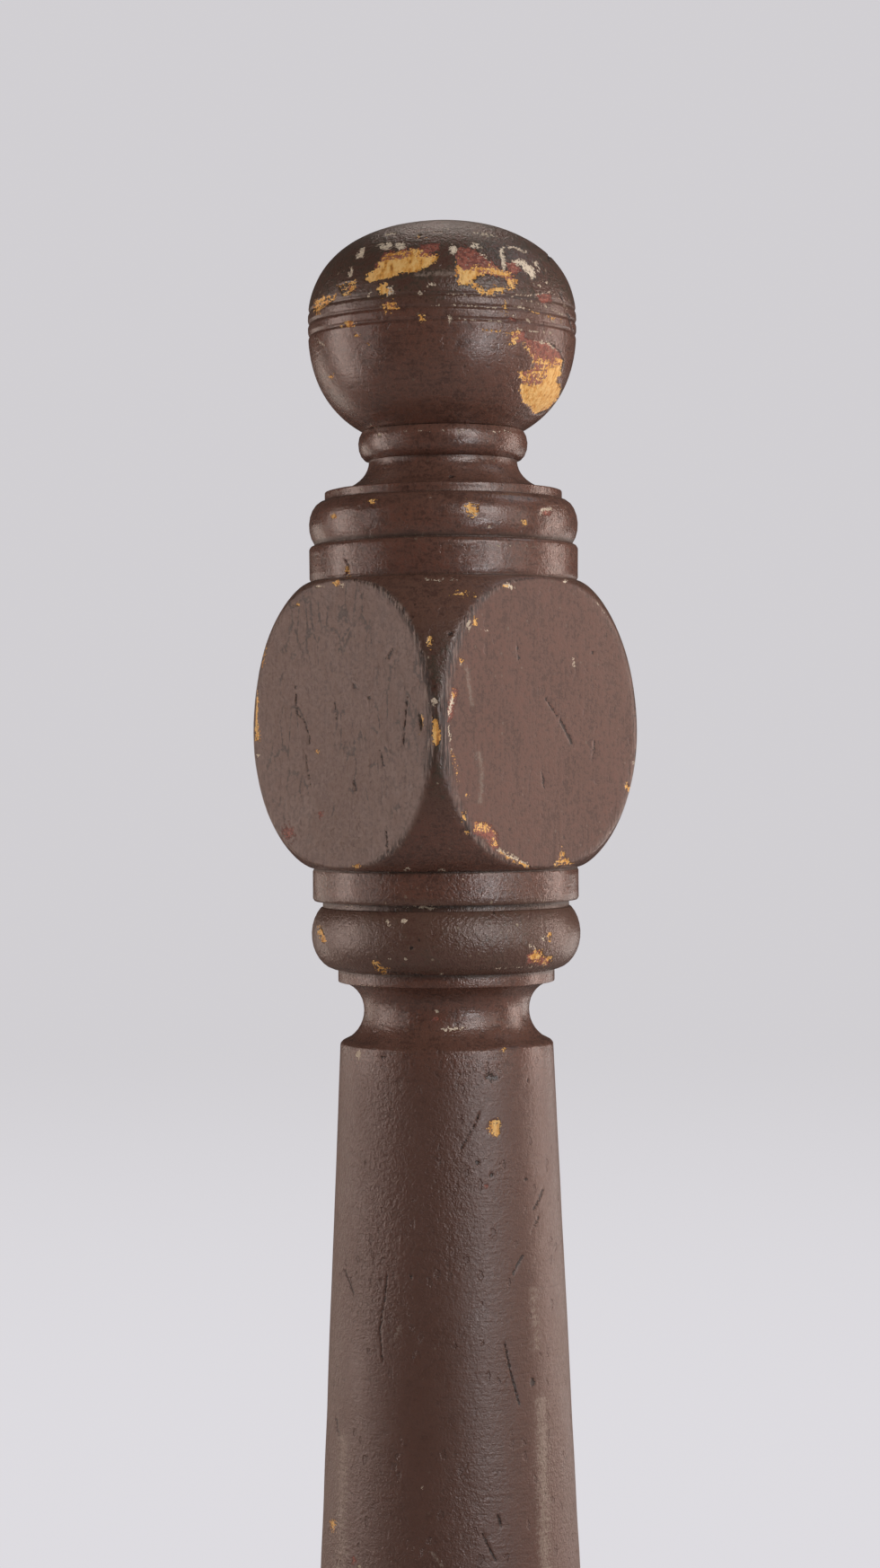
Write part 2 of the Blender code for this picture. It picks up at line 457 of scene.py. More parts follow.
@dataclass
class Shaft:
    """The tapered shaft, whose head is eased to a flat ledge."""

    height: float = 323.5 * MM
    foot_cut: float = 3.4 * MM
    head_cut: float = 17.7 * MM
    edge: float = 1.4 * MM
    step: float = 8.0 * MM
    marks: tuple[Mark, ...] = (
        Loss(Layer.CREAM, ((395, 1169), (401, 1170), (401, 1177), (399, 1180), (396, 1175)), 1.3),
        Loss(
            Layer.WOOD,
            ((545, 1250), (549, 1246), (557, 1246), (558, 1253), (556, 1258), (557, 1264), (553, 1266),
             (546, 1262), (542, 1257)),
            0.7,
            0.5,
        ),
        Line(Layer.CREAM, ((545, 1262), (547, 1254)), 1.4, 1.6),
        Line(Layer.SPLIT, ((535, 1237), (527, 1256), (517, 1272), (512, 1284)), 1.4, 0.8),
        Fleck(Layer.SPLIT, 532, 1295, 6, 4),
        Fleck(Layer.SPLIT, 547, 1308, 4, 4),
        Fleck(Layer.MAROON, 542, 1321, 5, 4),
        Fleck(Layer.SPLIT, 585, 1313, 4, 3),
        Line(Layer.SPLIT, ((604, 1326), (599, 1337), (594, 1347)), 2.0),
        Line(Layer.SPLIT, ((582, 1398), (576, 1409), (571, 1419)), 2.4),
        Line(Layer.SPLIT, ((562, 1495), (569, 1530), (578, 1563)), 1.9, 0.8),
        Fleck(Layer.SPLIT, 593, 1539, 5, 8),
        Line(Layer.SPLIT, ((431, 1420), (428, 1450), (423, 1480), (426, 1517)), 1.2),
        Fleck(Layer.WOOD, 370, 1699, 4, 9),
        Fleck(Layer.MAROON, 394, 1738, 4, 8),
        Fleck(Layer.CREAM, 470, 1656, 3, 3),
        Fleck(Layer.CREAM, 400, 1744, 3, 3),
        Line(Layer.SPLIT, ((555, 1688), (558, 1700)), 2.2),
        Line(Layer.SPLIT, ((537, 1708), (545, 1724), (552, 1738)), 1.8),
        Line(Layer.SCUFF, ((480, 1728), (493, 1744)), 1.0),
        Fleck(Layer.SPLIT, 428, 1177, 8, 2),
        Fleck(Layer.SPLIT, 588, 1203, 3, 3),
        Fleck(Layer.SPLIT, 546, 1200, 11, 8, 2.4),
        Fleck(Layer.WOOD, 561, 1169, 3, 1.6),
        Line(Layer.SCUFF, ((603, 1560), (607, 1746)), 7.5, 3.2),
        Line(Layer.SCUFF, ((382, 1600), (379, 1746)), 4.0, 4.0),
        Line(Layer.SCUFF, ((594, 1436), (598, 1500)), 1.0, 3.4),
        Line(Layer.SCUFF, ((445, 1476), (440, 1492)), 0.8, 1.2),
        Line(Layer.SPLIT, ((384, 1414), (389, 1428), (394, 1441)), 1.2),
        Line(Layer.SPLIT, ((601, 1352), (592, 1372)), 0.8, 1.4),
        Line(Layer.SPLIT, ((374, 1580), (377, 1598)), 1.6, 1.4),
        Fleck(Layer.SPLIT, 458, 1422, 4, 3),
    )

    def draw(self, pen: Pen, timber: Timber) -> None:
        """Draws the taper and its eased head."""
        head = timber.radius(self.head_cut)
        pen.step = 2.0 * MM
        pen.to(timber.radius(self.foot_cut))
        pen.step = self.step
        pen.to(head, self.height - self.edge)
        pen.to(head - self.edge, self.edge)


@dataclass
class Scotia:
    """The hollow between the shaft's ledge and the lower collar's fillet."""

    waist_cut: float = 30.6 * MM
    lower_height: float = 14.5 * MM
    lower_radius: float = 17.9 * MM
    upper_height: float = 15.2 * MM
    fillet_cut: float = 16.7 * MM
    ledge_rise: float = 2.0 * MM
    step: float = 3.0 * MM
    marks: tuple[Mark, ...] = (
        Loss(
            Layer.CREAM,
            ((492, 1146), (500, 1144), (519, 1143.5), (511, 1147), (503, 1147), (497, 1149)),
            1.5,
        ),
        Fleck(Layer.MAROON, 485.5, 1134, 7, 5, 1.6),
        Fleck(Layer.CREAM, 486.6, 1126, 2.2, 2.6),
        Line(Layer.CREAM, ((400, 1097), (430, 1100)), -1.6, 1.3),
    )

    def draw(self, pen: Pen, timber: Timber) -> None:
        """Draws the rounder lower sweep and the upper quarter."""
        pen.step = self.step
        waist, fillet = timber.radius(self.waist_cut), timber.radius(self.fillet_cut)
        sweep = math.degrees(math.asin(self.lower_height / self.lower_radius))
        lip = waist + self.lower_radius * (1 - math.cos(math.radians(sweep)))
        pen.to(lip, self.ledge_rise)
        pen.arc(waist + self.lower_radius, self.lower_radius, self.lower_radius, 180 + sweep, 180)
        pen.arc(fillet, fillet - waist, self.upper_height, 180, 90)


@dataclass
class LowerCollar:
    """The fillet, deep torus, groove and band below the rail block."""

    fillet_cut: float = 16.7 * MM
    fillet_height: float = 6.8 * MM
    torus_height: float = 33.4 * MM
    torus_half: float = 18.9 * MM
    groove_cut: float = 8.7 * MM
    groove_height: float = 3.4 * MM
    band_height: float = 17.6 * MM
    step: float = 3.4 * MM
    marks: tuple[Mark, ...] = (
        Loss(
            Layer.MAROON,
            ((587, 1073), (588, 1064), (596, 1057), (603, 1058), (605, 1066), (613, 1066), (611, 1075)),
            1.2,
        ),
        Loss(Layer.WOOD, ((590, 1066), (597, 1058), (602, 1059), (604, 1067), (599, 1071)), 1.4),
        Line(Layer.WOOD, ((606, 1073), (612, 1067)), 2.4, 1.4),
        Line(Layer.WOOD, ((612.5, 1040), (612, 1047)), 1.8),
        Fleck(Layer.CREAM, 605, 1045, 3, 3.4),
        Line(Layer.CREAM, ((589, 1053), (596, 1056)), 1.2, 1.8),
        Line(Layer.WOOD, ((357, 1034), (358, 1041), (361, 1048)), 3.4, 1.2),
        Line(Layer.SPLIT, ((357, 1033), (361, 1040)), 1.4),
        Line(Layer.WOOD, ((417, 1073), (421, 1077), (428, 1082)), 3.8, 1.4),
        Line(Layer.SPLIT, ((427, 1081), (445, 1084), (470, 1086)), 0.9),
        Fleck(Layer.CREAM, 432, 1028.5, 3, 5),
        Fleck(Layer.CREAM, 450, 1025.5, 6, 4),
        Fleck(Layer.CREAM, 451, 1067.5, 3.4, 3.4),
        Fleck(Layer.CREAM, 433.5, 1067.5, 2, 3),
        Fleck(Layer.CREAM, 491.5, 1085, 2.4, 1.8),
        Fleck(Layer.SPLIT, 458, 1056, 5, 4, 1.6),
        Fleck(Layer.CREAM, 470, 1010.5, 9, 1.8, 2.0),
        Line(Layer.CREAM, ((500, 1011), (560, 1011)), -1.6, 1.3),
        Line(Layer.CREAM, ((380, 1009), (440, 1010)), -1.6, 1.3),
        Fleck(Layer.CREAM, 453, 967.4, 7, 2.4),
        Fleck(Layer.CREAM, 493, 968.6, 5, 2),
        Fleck(Layer.CREAM, 515.5, 979, 2, 2.4),
        Line(Layer.CREAM, ((548, 1079), (600, 1076)), -0.8, 1.2),
    )

    def draw(self, pen: Pen, timber: Timber) -> None:
        """Draws it from below."""
        pen.step = self.step
        fillet = timber.radius(self.fillet_cut)
        pen.to(fillet, self.fillet_height)
        end = math.degrees(math.asin((self.torus_height - self.torus_half) / self.torus_half))
        pen.arc(fillet, timber.round - fillet, self.torus_half, -90, end)
        pen.to(timber.radius(self.groove_cut))
        pen.to(timber.radius(self.groove_cut), self.groove_height)
        draw_band(pen, timber, timber.lower_band, self.band_height)


@dataclass
class RailBlock:
    """The barrel that the timber's flats cut into the square block for the handrails."""

    lower_height: float = 72.9 * MM
    upper_height: float = 80.8 * MM
    lower_fullness: float = 0.63
    upper_fullness: float = 0.63
    step: float = 4.4 * MM
    marks: tuple[Mark, ...] = (
        Loss(Layer.WOOD, ((481, 797), (486, 797), (489, 808), (491, 821), (487, 831), (482.5, 827)), 0.9),
        Fleck(Layer.WOOD, 478.4, 713, 3.4, 9),
        Fleck(Layer.WOOD, 469, 804, 2.6, 9),
        Line(Layer.SPLIT, ((467, 796), (469, 812)), 2.0),
        Fleck(Layer.SPLIT, 502, 705.6, 4.2, 4.6),
        Fleck(Layer.CREAM, 483, 780, 6, 6, 2.4),
        Loss(Layer.MAROON, ((504, 766), (509, 767), (507, 782), (504, 798), (499, 806), (499, 790)), 1.3),
        Line(Layer.CREAM, ((505, 770), (503, 784), (500, 797)), 2.6, 1.3),
        Line(Layer.CREAM, ((500, 806), (501, 822), (505, 838)), 0.6, 1.3),
        Line(Layer.WOOD, ((506, 768), (505, 775)), 1.6, 1.3),
        Line(Layer.WOOD, ((503, 838), (512, 870)), -0.4, 1.4),
        Fleck(Layer.WOOD, 529, 692, 4, 6, 1.2),
        Fleck(Layer.CREAM, 522, 695, 3, 6, 2.0),
        Line(Layer.CREAM, ((518, 728), (512, 742)), -0.4, 1.3),
        Loss(Layer.CREAM, ((559, 650), (566, 649), (573, 653), (571, 656), (563, 654)), 1.8),
        Fleck(Layer.WOOD, 563, 652, 4, 3, 1.4),
        Fleck(Layer.CREAM, 630, 647.5, 5, 3),
        Fleck(Layer.WOOD, 375, 649, 5, 3, 1.4),
        Fleck(Layer.CREAM, 380, 651, 5, 3, 1.6),
        Fleck(Layer.CREAM, 355, 653, 6, 3, 1.4),
        Fleck(Layer.WOOD, 332, 673.5, 3.2, 3.2),
        Line(Layer.WOOD, ((284, 772), (284, 800), (286, 822)), 5.0, 1.3),
        Line(Layer.WOOD, ((294, 722), (290, 742)), 2.0, 1.8),
        Fleck(Layer.CREAM, 287, 841.5, 3, 3),
        Fleck(Layer.WOOD, 699, 876, 4.6, 8, 1.2),
        Fleck(Layer.CREAM, 705.5, 850, 2.6, 3.6),
        Line(Layer.CREAM, ((660, 664), (675, 684), (684, 699)), -1.0, 1.3),
        Line(Layer.SPLIT, ((707, 766), (710, 800)), 1.8, 1.6),
        Line(Layer.SPLIT, ((712, 818), (709, 842)), 2.8, 1.2),
        Line(Layer.CREAM, ((639, 733), (638.5, 741)), 1.6, 1.3),
        Fleck(Layer.CREAM, 541, 702, 4, 2, 1.4),
        Line(Layer.SPLIT, ((607, 778), (613, 786), (620, 797)), 1.5, 0.9),
        Line(Layer.SPLIT, ((624, 802), (631, 815), (637, 828)), 2.8, 0.8),
        Line(Layer.SPLIT, ((575.6, 719), (578, 735)), 1.2),
        Line(Layer.SCUFF, ((519, 740), (521, 752), (525.5, 784)), 1.5, 1.4),
        Line(Layer.SCUFF, ((533, 838), (537, 858), (535, 893)), 1.6, 1.6),
        Loss(
            Layer.MAROON,
            ((527, 915), (540, 916), (547, 919), (554, 930), (555, 945), (548, 946), (542, 934), (528, 928)),
            1.3,
        ),
        Loss(Layer.WOOD, ((529, 917), (540, 917), (545, 921), (541, 926), (530, 925)), 1.2, 0.2),
        Line(Layer.WOOD, ((549, 927), (552, 943)), 1.6, 1.4),
        Line(Layer.CREAM, ((555, 946), (562, 951), (575, 957), (588, 964)), 3.0, 1.8),
        Line(Layer.CREAM, ((472, 646), (508, 646)), -1.2, 1.8),
        Line(Layer.WOOD, ((557, 949), (570, 957), (589, 965)), 0.6, 1.4),
        Loss(Layer.WOOD, ((625, 944), (629, 954), (637, 962), (618, 963), (624, 955)), 1.2, 0.2),
        Line(Layer.CREAM, ((626, 946), (627, 957)), 1.4, 1.6),
        Fleck(Layer.WOOD, 517, 908.5, 4, 7, 1.4),
        Fleck(Layer.WOOD, 519.5, 885.5, 3, 3.6),
        Fleck(Layer.WOOD, 520, 927, 3.4, 3),
        Fleck(Layer.WOOD, 514, 735, 2.4, 3),
        Fleck(Layer.WOOD, 397.7, 964.5, 5, 3),
        Fleck(Layer.MAROON, 321, 927, 12, 12, 3.6),
        Fleck(Layer.WOOD, 353, 838, 2, 3),
        Fleck(Layer.MAROON, 357, 907, 4, 6, 1.6),
        Fleck(Layer.WOOD, 514, 661, 7, 2, 1.8),
        Line(Layer.SPLIT, ((329, 764), (331, 795), (339, 802), (345, 822), (344, 831)), 1.1, 0.8),
        Line(Layer.SPLIT, ((340, 841), (343, 860), (346, 876)), 0.8),
        Line(Layer.SPLIT, ((373, 783), (375, 801)), 0.9),
        Line(Layer.SPLIT, ((394, 869), (396.5, 879)), 2.4),
        Line(Layer.SPLIT, ((432, 733), (437, 724)), 2.2, 1.6),
        Line(Layer.SPLIT, ((449, 830), (451, 800), (454, 776)), 1.1, 0.8),
        Line(Layer.SPLIT, ((423, 835), (428, 853)), 0.9),
        Fleck(Layer.SPLIT, 411, 777, 3, 4),
        Fleck(Layer.SPLIT, 660, 727, 3, 4),
        Line(Layer.SPLIT, ((430, 925), (432, 950)), 0.9),
        Line(Layer.SPLIT, ((394, 762), (396, 766)), 2.4),
        Line(Layer.SPLIT, ((604, 858), (606, 876)), 1.4, 1.2),
        Line(Layer.SPLIT, ((662, 826), (660, 846)), 1.2, 1.2),
    )

    def draw(self, pen: Pen, timber: Timber) -> None:
        """Draws the barrel up to its widest place and on to the upper band."""
        pen.step = self.step
        lower, upper = (r - timber.band_edge / 2 for r in (timber.lower_band, timber.round))
        pen.barrel(lower, timber.barrel, self.lower_height, self.lower_fullness, upward=True)
        pen.barrel(upper, timber.barrel, self.upper_height, self.upper_fullness, upward=False)


@dataclass
class Neck:
    """The cavetto over the upper collar and the bead under the ball."""

    waist_cut: float = 35.1 * MM
    fillet_cut: float = 11.2 * MM
    ledge: float = 1.5 * MM
    cavetto_height: float = 16.5 * MM
    bead_height: float = 15.8 * MM
    bead_sunk: float = 2.2 * MM
    bead_bulge: float = 5.8 * MM
    step: float = 3.0 * MM
    marks: tuple[Mark, ...] = (
        Line(Layer.CREAM, ((450, 480), (520, 479)), -1.6, 1.3),
        Line(Layer.CREAM, ((548, 481), (573, 480)), -0.4, 1.5),
        Line(Layer.CREAM, ((412, 474), (424, 476)), -0.8, 1.4),
        Fleck(Layer.CREAM, 422, 483.5, 3, 2),
        Fleck(Layer.SPLIT, 503, 531, 5, 2),
    )

    def draw(self, pen: Pen, timber: Timber) -> None:
        """Draws the cavetto's flare and the bead."""
        pen.step = self.step
        waist, fillet = timber.radius(self.waist_cut), timber.radius(self.fillet_cut)
        flare = fillet - self.ledge - waist
        pen.arc(waist + flare, flare, self.cavetto_height, 270, 180)
        half = (self.bead_height + self.bead_sunk) / 2
        end = math.degrees(math.asin((self.bead_height - half) / half))
        pen.arc(waist, self.bead_bulge, half, -90, end)


@dataclass
class Ball:
    """The flattened ball, full above and below, with its scored rings."""

    seat_cut: float = 32.2 * MM
    drop: float = 57.6 * MM
    rise: float = 54.5 * MM
    fullness: float = 2.25
    under_fullness: float = 2.4
    ring_count: int = 3
    ring_pitch: float = 6.5 * MM
    ring_width: float = 2.0 * MM
    ring_depth: float = 0.9 * MM
    step: float = 3.6 * MM
    ring_step: float = 0.7 * MM
    marks: tuple[Mark, ...] = (
        Loss(
            Layer.MAROON,
            ((417, 300), (424, 288), (430, 278), (440, 280), (454, 277), (465, 279), (469, 274), (477, 270),
             (490, 272), (488, 278), (481, 282), (489, 285), (480, 295), (450, 304)),
            1.3,
        ),
        Loss(
            Layer.WOOD,
            ((404, 311), (413, 303), (421, 298), (427, 291), (440, 288), (456, 284), (469, 285),
             (478, 284.5), (488, 284.5), (487, 289), (480, 295), (473, 299.5), (458, 303), (446, 304),
             (439, 307.5), (424, 311), (411, 314.5)),
            0.9,
        ),
        Loss(
            Layer.WOOD,
            ((422, 293), (430, 284), (447, 280), (466, 279), (478, 282), (472, 288), (448, 290), (432, 296)),
            1.0,
            0.02,
        ),
        Loss(Layer.CREAM, ((422, 273), (435, 269), (438, 274), (431, 278), (424, 277)), 1.4),
        Loss(Layer.CREAM, ((440, 271), (451, 270), (451, 276), (445, 278), (441, 275)), 1.4),
        Loss(Layer.CREAM, ((403, 276), (407, 276), (404, 286), (397, 288), (398, 282)), 1.2),
        Loss(Layer.CREAM, ((391, 298), (393, 300), (391, 308), (387, 308)), 1.0),
        Loss(
            Layer.MAROON,
            ((507, 275), (519, 275), (530, 278), (539, 285), (546, 290), (558, 299), (571, 304), (574, 313),
             (573, 320), (566, 318), (562, 309), (540, 306), (530, 309), (524, 316), (509, 317), (508, 290)),
            1.1,
        ),
        Loss(
            Layer.WOOD,
            ((508.5, 290), (512, 299), (526, 300), (541, 300), (547, 296), (557, 300), (560, 303),
             (570, 305), (568, 308), (553, 305), (538, 305), (530, 309), (524, 315), (515, 317), (509, 316)),
            1.5,
        ),
        Loss(
            Layer.WOOD,
            ((524, 317), (531, 316.5), (540, 321), (553, 319), (560, 320), (562, 327), (547, 326.5),
             (537, 327)),
            1.4,
        ),
        Fleck(Layer.WOOD, 569, 314, 7, 8, 2.2),
        Loss(Layer.CREAM, ((500, 273), (509, 273), (509, 279), (505, 283), (502, 280)), 1.3),
        Loss(Layer.CREAM, ((523, 272), (532, 270.5), (534, 276), (526, 276)), 1.5),
        Line(Layer.CREAM, ((534, 280), (540, 286), (547, 292)), 0.6, 1.4),
        Loss(Layer.CREAM, ((556, 276), (560.5, 275), (562, 286), (564, 300), (560.5, 302), (558, 288)), 1.1),
        Line(Layer.CREAM, ((559, 276), (572, 275.5), (586, 281)), 1.2, 1.2),
        Loss(
            Layer.CREAM,
            ((570, 291), (575, 288), (583, 290), (591, 296), (595, 298), (596, 308), (593, 311), (586, 304),
             (578, 295)),
            1.2,
        ),
        Line(Layer.CREAM, ((597, 293), (600, 301)), 2.6, 1.2),
        Loss(Layer.MAROON, ((564, 292), (572, 291), (581, 298), (579, 303), (572, 305), (566, 301)), 1.1),
        Loss(
            Layer.WOOD,
            ((377, 317), (386, 314), (396, 313), (395, 319), (389, 328), (383, 329), (379, 324)),
            1.1,
            0.05,
        ),
        Fleck(Layer.MAROON, 389, 320, 10, 7, 1.6),
        Loss(
            Layer.WOOD,
            ((349, 341), (353, 334), (364, 330), (373, 328), (372, 334), (361, 341), (352, 349)),
            1.1,
            0.3,
        ),
        Loss(Layer.WOOD, ((421, 323), (425, 317), (431, 316), (432, 328), (427, 330), (422, 327)), 1.2),
        Loss(Layer.CREAM, ((431, 318), (437, 319), (438.5, 326), (431, 330)), 1.5),
        Loss(Layer.WOOD, ((427, 340), (440, 337), (440, 343), (430, 345)), 2.2),
        Fleck(Layer.MAROON, 434, 341, 14, 9, 1.4),
        Loss(Layer.MAROON, ((384, 359), (393, 357), (394, 363.5), (385, 364)), 1.0),
        Fleck(Layer.WOOD, 389, 360.5, 8, 5, 1.6),
        Loss(Layer.MAROON, ((597, 328), (612, 326), (616, 332), (612, 337), (602, 336)), 1.2),
        Line(Layer.CREAM, ((575, 328), (590, 329), (612, 325)), -0.6, 1.4),
        Line(Layer.CREAM, ((577, 342), (590, 344)), 0.8, 1.4),
        # Painted glints: these three runs of cream flecks along the rings stand for the rings' specular
        # glints.
        Line(Layer.CREAM, ((498, 327), (530, 329), (557, 329)), -0.8, 1.3),
        Line(Layer.CREAM, ((505, 339), (530, 341), (553, 343)), -0.3, 1.3),
        Line(Layer.CREAM, ((509, 355), (530, 357), (558, 358)), -0.5, 1.3),
        Line(Layer.CREAM, ((574, 366), (595, 369), (614, 371)), -0.2, 1.3),
        Line(Layer.WOOD, ((539, 368), (563, 370)), 0.2, 1.4),
        Loss(
            Layer.MAROON,
            ((570, 372), (573, 369), (585, 369), (586, 377), (582, 381), (574, 383), (569, 380)),
            1.1,
        ),
        Loss(Layer.WOOD, ((569, 380), (571, 371), (578, 372), (575, 381)), 1.9),
        Loss(
            Layer.MAROON,
            ((583, 377), (597, 379), (612, 382), (621.5, 390), (627, 401), (624.5, 414), (621.5, 424.5),
             (626, 435), (622.5, 443.5), (612, 455), (599.5, 460.5), (593, 460.5), (592, 455),
             (582.5, 447.5), (579.5, 437), (581.5, 425.5), (579.5, 414), (586, 413), (595, 410.5),
             (596, 405), (591, 395)),
            0.7,
        ),
        Loss(
            Layer.WOOD,
            ((580, 427), (587, 429), (594, 431), (603, 425), (611, 419), (609, 411), (617, 409), (625, 407),
             (624.5, 414), (621.5, 424.5), (625.5, 435), (622.5, 443), (612, 454.5), (599.5, 460),
             (593.5, 460), (592, 455), (582.5, 447.5), (580, 437)),
            0.8,
        ),
        Line(Layer.WOOD, ((583, 382), (589, 390), (595, 397)), 0.6, 1.5),
        Line(Layer.WOOD, ((595, 403), (608, 404), (624, 402)), 3.4, 1.9),
        Line(Layer.WOOD, ((580, 415), (584, 420)), 2.0, 1.6),
        Loss(
            Layer.WOOD,
            ((580, 416), (592, 412), (603, 405), (621, 403), (623, 410), (608, 418), (596, 430), (584, 429)),
            1.0,
            -0.12,
        ),
        Line(Layer.CREAM, ((597, 379), (612, 383), (620, 389)), 1.0, 2.2),
        Line(Layer.SPLIT, ((614, 383), (624, 391), (628, 402), (625.5, 414)), 1.1),
        Line(Layer.SPLIT, ((626.5, 434), (623, 445), (612, 456.5), (599, 461.5)), 1.3),
        Fleck(Layer.WOOD, 369.5, 419, 2.8, 3),
        Fleck(Layer.WOOD, 396.5, 373, 4, 3),
        Fleck(Layer.WOOD, 411, 382.5, 2.4, 2.4),
        Fleck(Layer.WOOD, 470, 354.5, 4, 6, 1.4),
        Fleck(Layer.WOOD, 562.5, 342.5, 2.4, 6, 1.4),
        Fleck(Layer.MAROON, 570, 356, 6, 4, 1.2),
        Line(Layer.CREAM, ((430, 261), (440, 260)), 1.5, 1.6),
        Fleck(Layer.WOOD, 467.5, 262, 4, 2, 1.4),
        Line(Layer.CREAM, ((475, 258), (497, 258)), -0.8, 1.4),
        Line(Layer.CREAM, ((527, 259), (552, 263)), 0.8, 1.7),
        Line(Layer.CREAM, ((600, 312), (612, 316)), -0.6, 1.4),
        Fleck(Layer.SPLIT, 611.5, 286, 3, 7),
        Line(Layer.SPLIT, ((624, 326), (628, 336)), 1.6, 1.4),
        Line(Layer.SPLIT, ((633, 350), (637, 366)), 1.4, 1.6),
        Line(Layer.CREAM, ((352, 378), (364, 386)), -0.4, 1.8),
        Fleck(Layer.CREAM, 412, 326, 3, 3, 1.6),
        Fleck(Layer.CREAM, 469, 326, 3, 3, 1.6),
        Fleck(Layer.CREAM, 411, 330, 3, 3, 1.4),
        Fleck(Layer.CREAM, 481, 317, 4, 3, 2.2),
        Fleck(Layer.CREAM, 500, 355, 3, 4, 1.8),
        Line(Layer.SCUFF, ((466, 306), (488, 303), (505, 304)), 1.6, 2.6),
        # These runs of cream flecks over the rings' right side are partly chipped cream and partly painted
        # glints.
        Line(Layer.CREAM, ((604, 352), (624, 362)), -0.6, 1.4),
        Line(Layer.CREAM, ((568, 330), (600, 338), (626, 350)), -0.7, 1.6),
        Line(Layer.CREAM, ((600, 318), (622, 330), (632, 346)), -0.8, 1.4),
        Line(Layer.CREAM, ((566, 350), (596, 360)), -0.5, 1.4),
        Line(Layer.CREAM, ((478, 341), (505, 339)), -0.9, 1.4),
        Line(Layer.WOOD, ((590, 346), (622, 356)), -0.7, 1.6),
    )

    def draw(self, pen: Pen, timber: Timber) -> None:
        """Draws the seat, the rings and the crown, up to the pole."""
        pen.step = self.step
        widest = timber.round
        full = self.under_fullness
        under = self.drop / (1 - (timber.radius(self.seat_cut) / widest) ** full) ** (1 / full)
        equator = pen.height + self.drop

        def radius(level: float) -> float:
            reach, fullness = (under, full) if level < 0 else (self.rise, self.fullness)
            return widest * (1 - (abs(level) / reach) ** fullness) ** (1 / fullness)

        scored = (self.ring_count - 1) / 2 * self.ring_pitch + self.ring_width * 0.75
        start, end = (math.asin((v / under) ** (full / 2)) for v in (self.drop, scored))

        def below(share: float) -> Point2:
            level = -under * math.sin(start + (end - start) * share) ** (2 / full)
            return radius(level), self.drop + level

        pen.curve(below, widest * (start - end))
        count = math.ceil(2 * scored / self.ring_step)
        for i in range(1, count):
            level = -scored + 2 * scored * i / count
            ring = round(level / self.ring_pitch) * self.ring_pitch
            cut = max(0.0, math.cos(math.pi * min(1.0, abs(level - ring) / self.ring_width)) + 1) / 2
            pen.points.append((radius(level) - self.ring_depth * cut**1.5, equator + level))
        pen.height = equator + scored
        power = 2 / self.fullness
        first = math.asin((scored / self.rise) ** (1 / power))

        def above(share: float) -> Point2:
            level = self.rise * math.sin(first + (math.pi / 2 - first) * share) ** power
            return radius(min(level, self.rise)), level - scored

        pen.curve(above, widest * (math.pi / 2 - first))


class Signal:
    """A shader socket that takes part in Python arithmetic."""

    def __init__(self, bench: "Bench", socket: bpy.types.NodeSocket) -> None:
        self.bench = bench
        self.socket = socket

    def __add__(self, other: Number) -> "Signal":
        """Their sum."""
        return self.bench.maths("ADD", self, other)

    __radd__ = __add__

    def __sub__(self, other: Number) -> "Signal":
        """Their difference."""
        return self.bench.maths("SUBTRACT", self, other)

    def __rsub__(self, other: Number) -> "Signal":
        """Their difference, the other way."""
        return self.bench.maths("SUBTRACT", other, self)

    def __mul__(self, other: Number) -> "Signal":
        """Their product."""
        return self.bench.maths("MULTIPLY", self, other)

    __rmul__ = __mul__

    def rise(self, low: float, high: float) -> "Signal":
        """0 at low, 1 at high, smooth between; low may be the larger."""
        return self.bench.rise(self, low, high)

    def over(self, other: Number) -> "Signal":
        """The larger of the two."""
        return self.bench.maths("MAXIMUM", self, other)

    def beside(self, output: str) -> "Signal":
        """Another output of the same node."""
        return Signal(self.bench, self.socket.node.outputs[output])


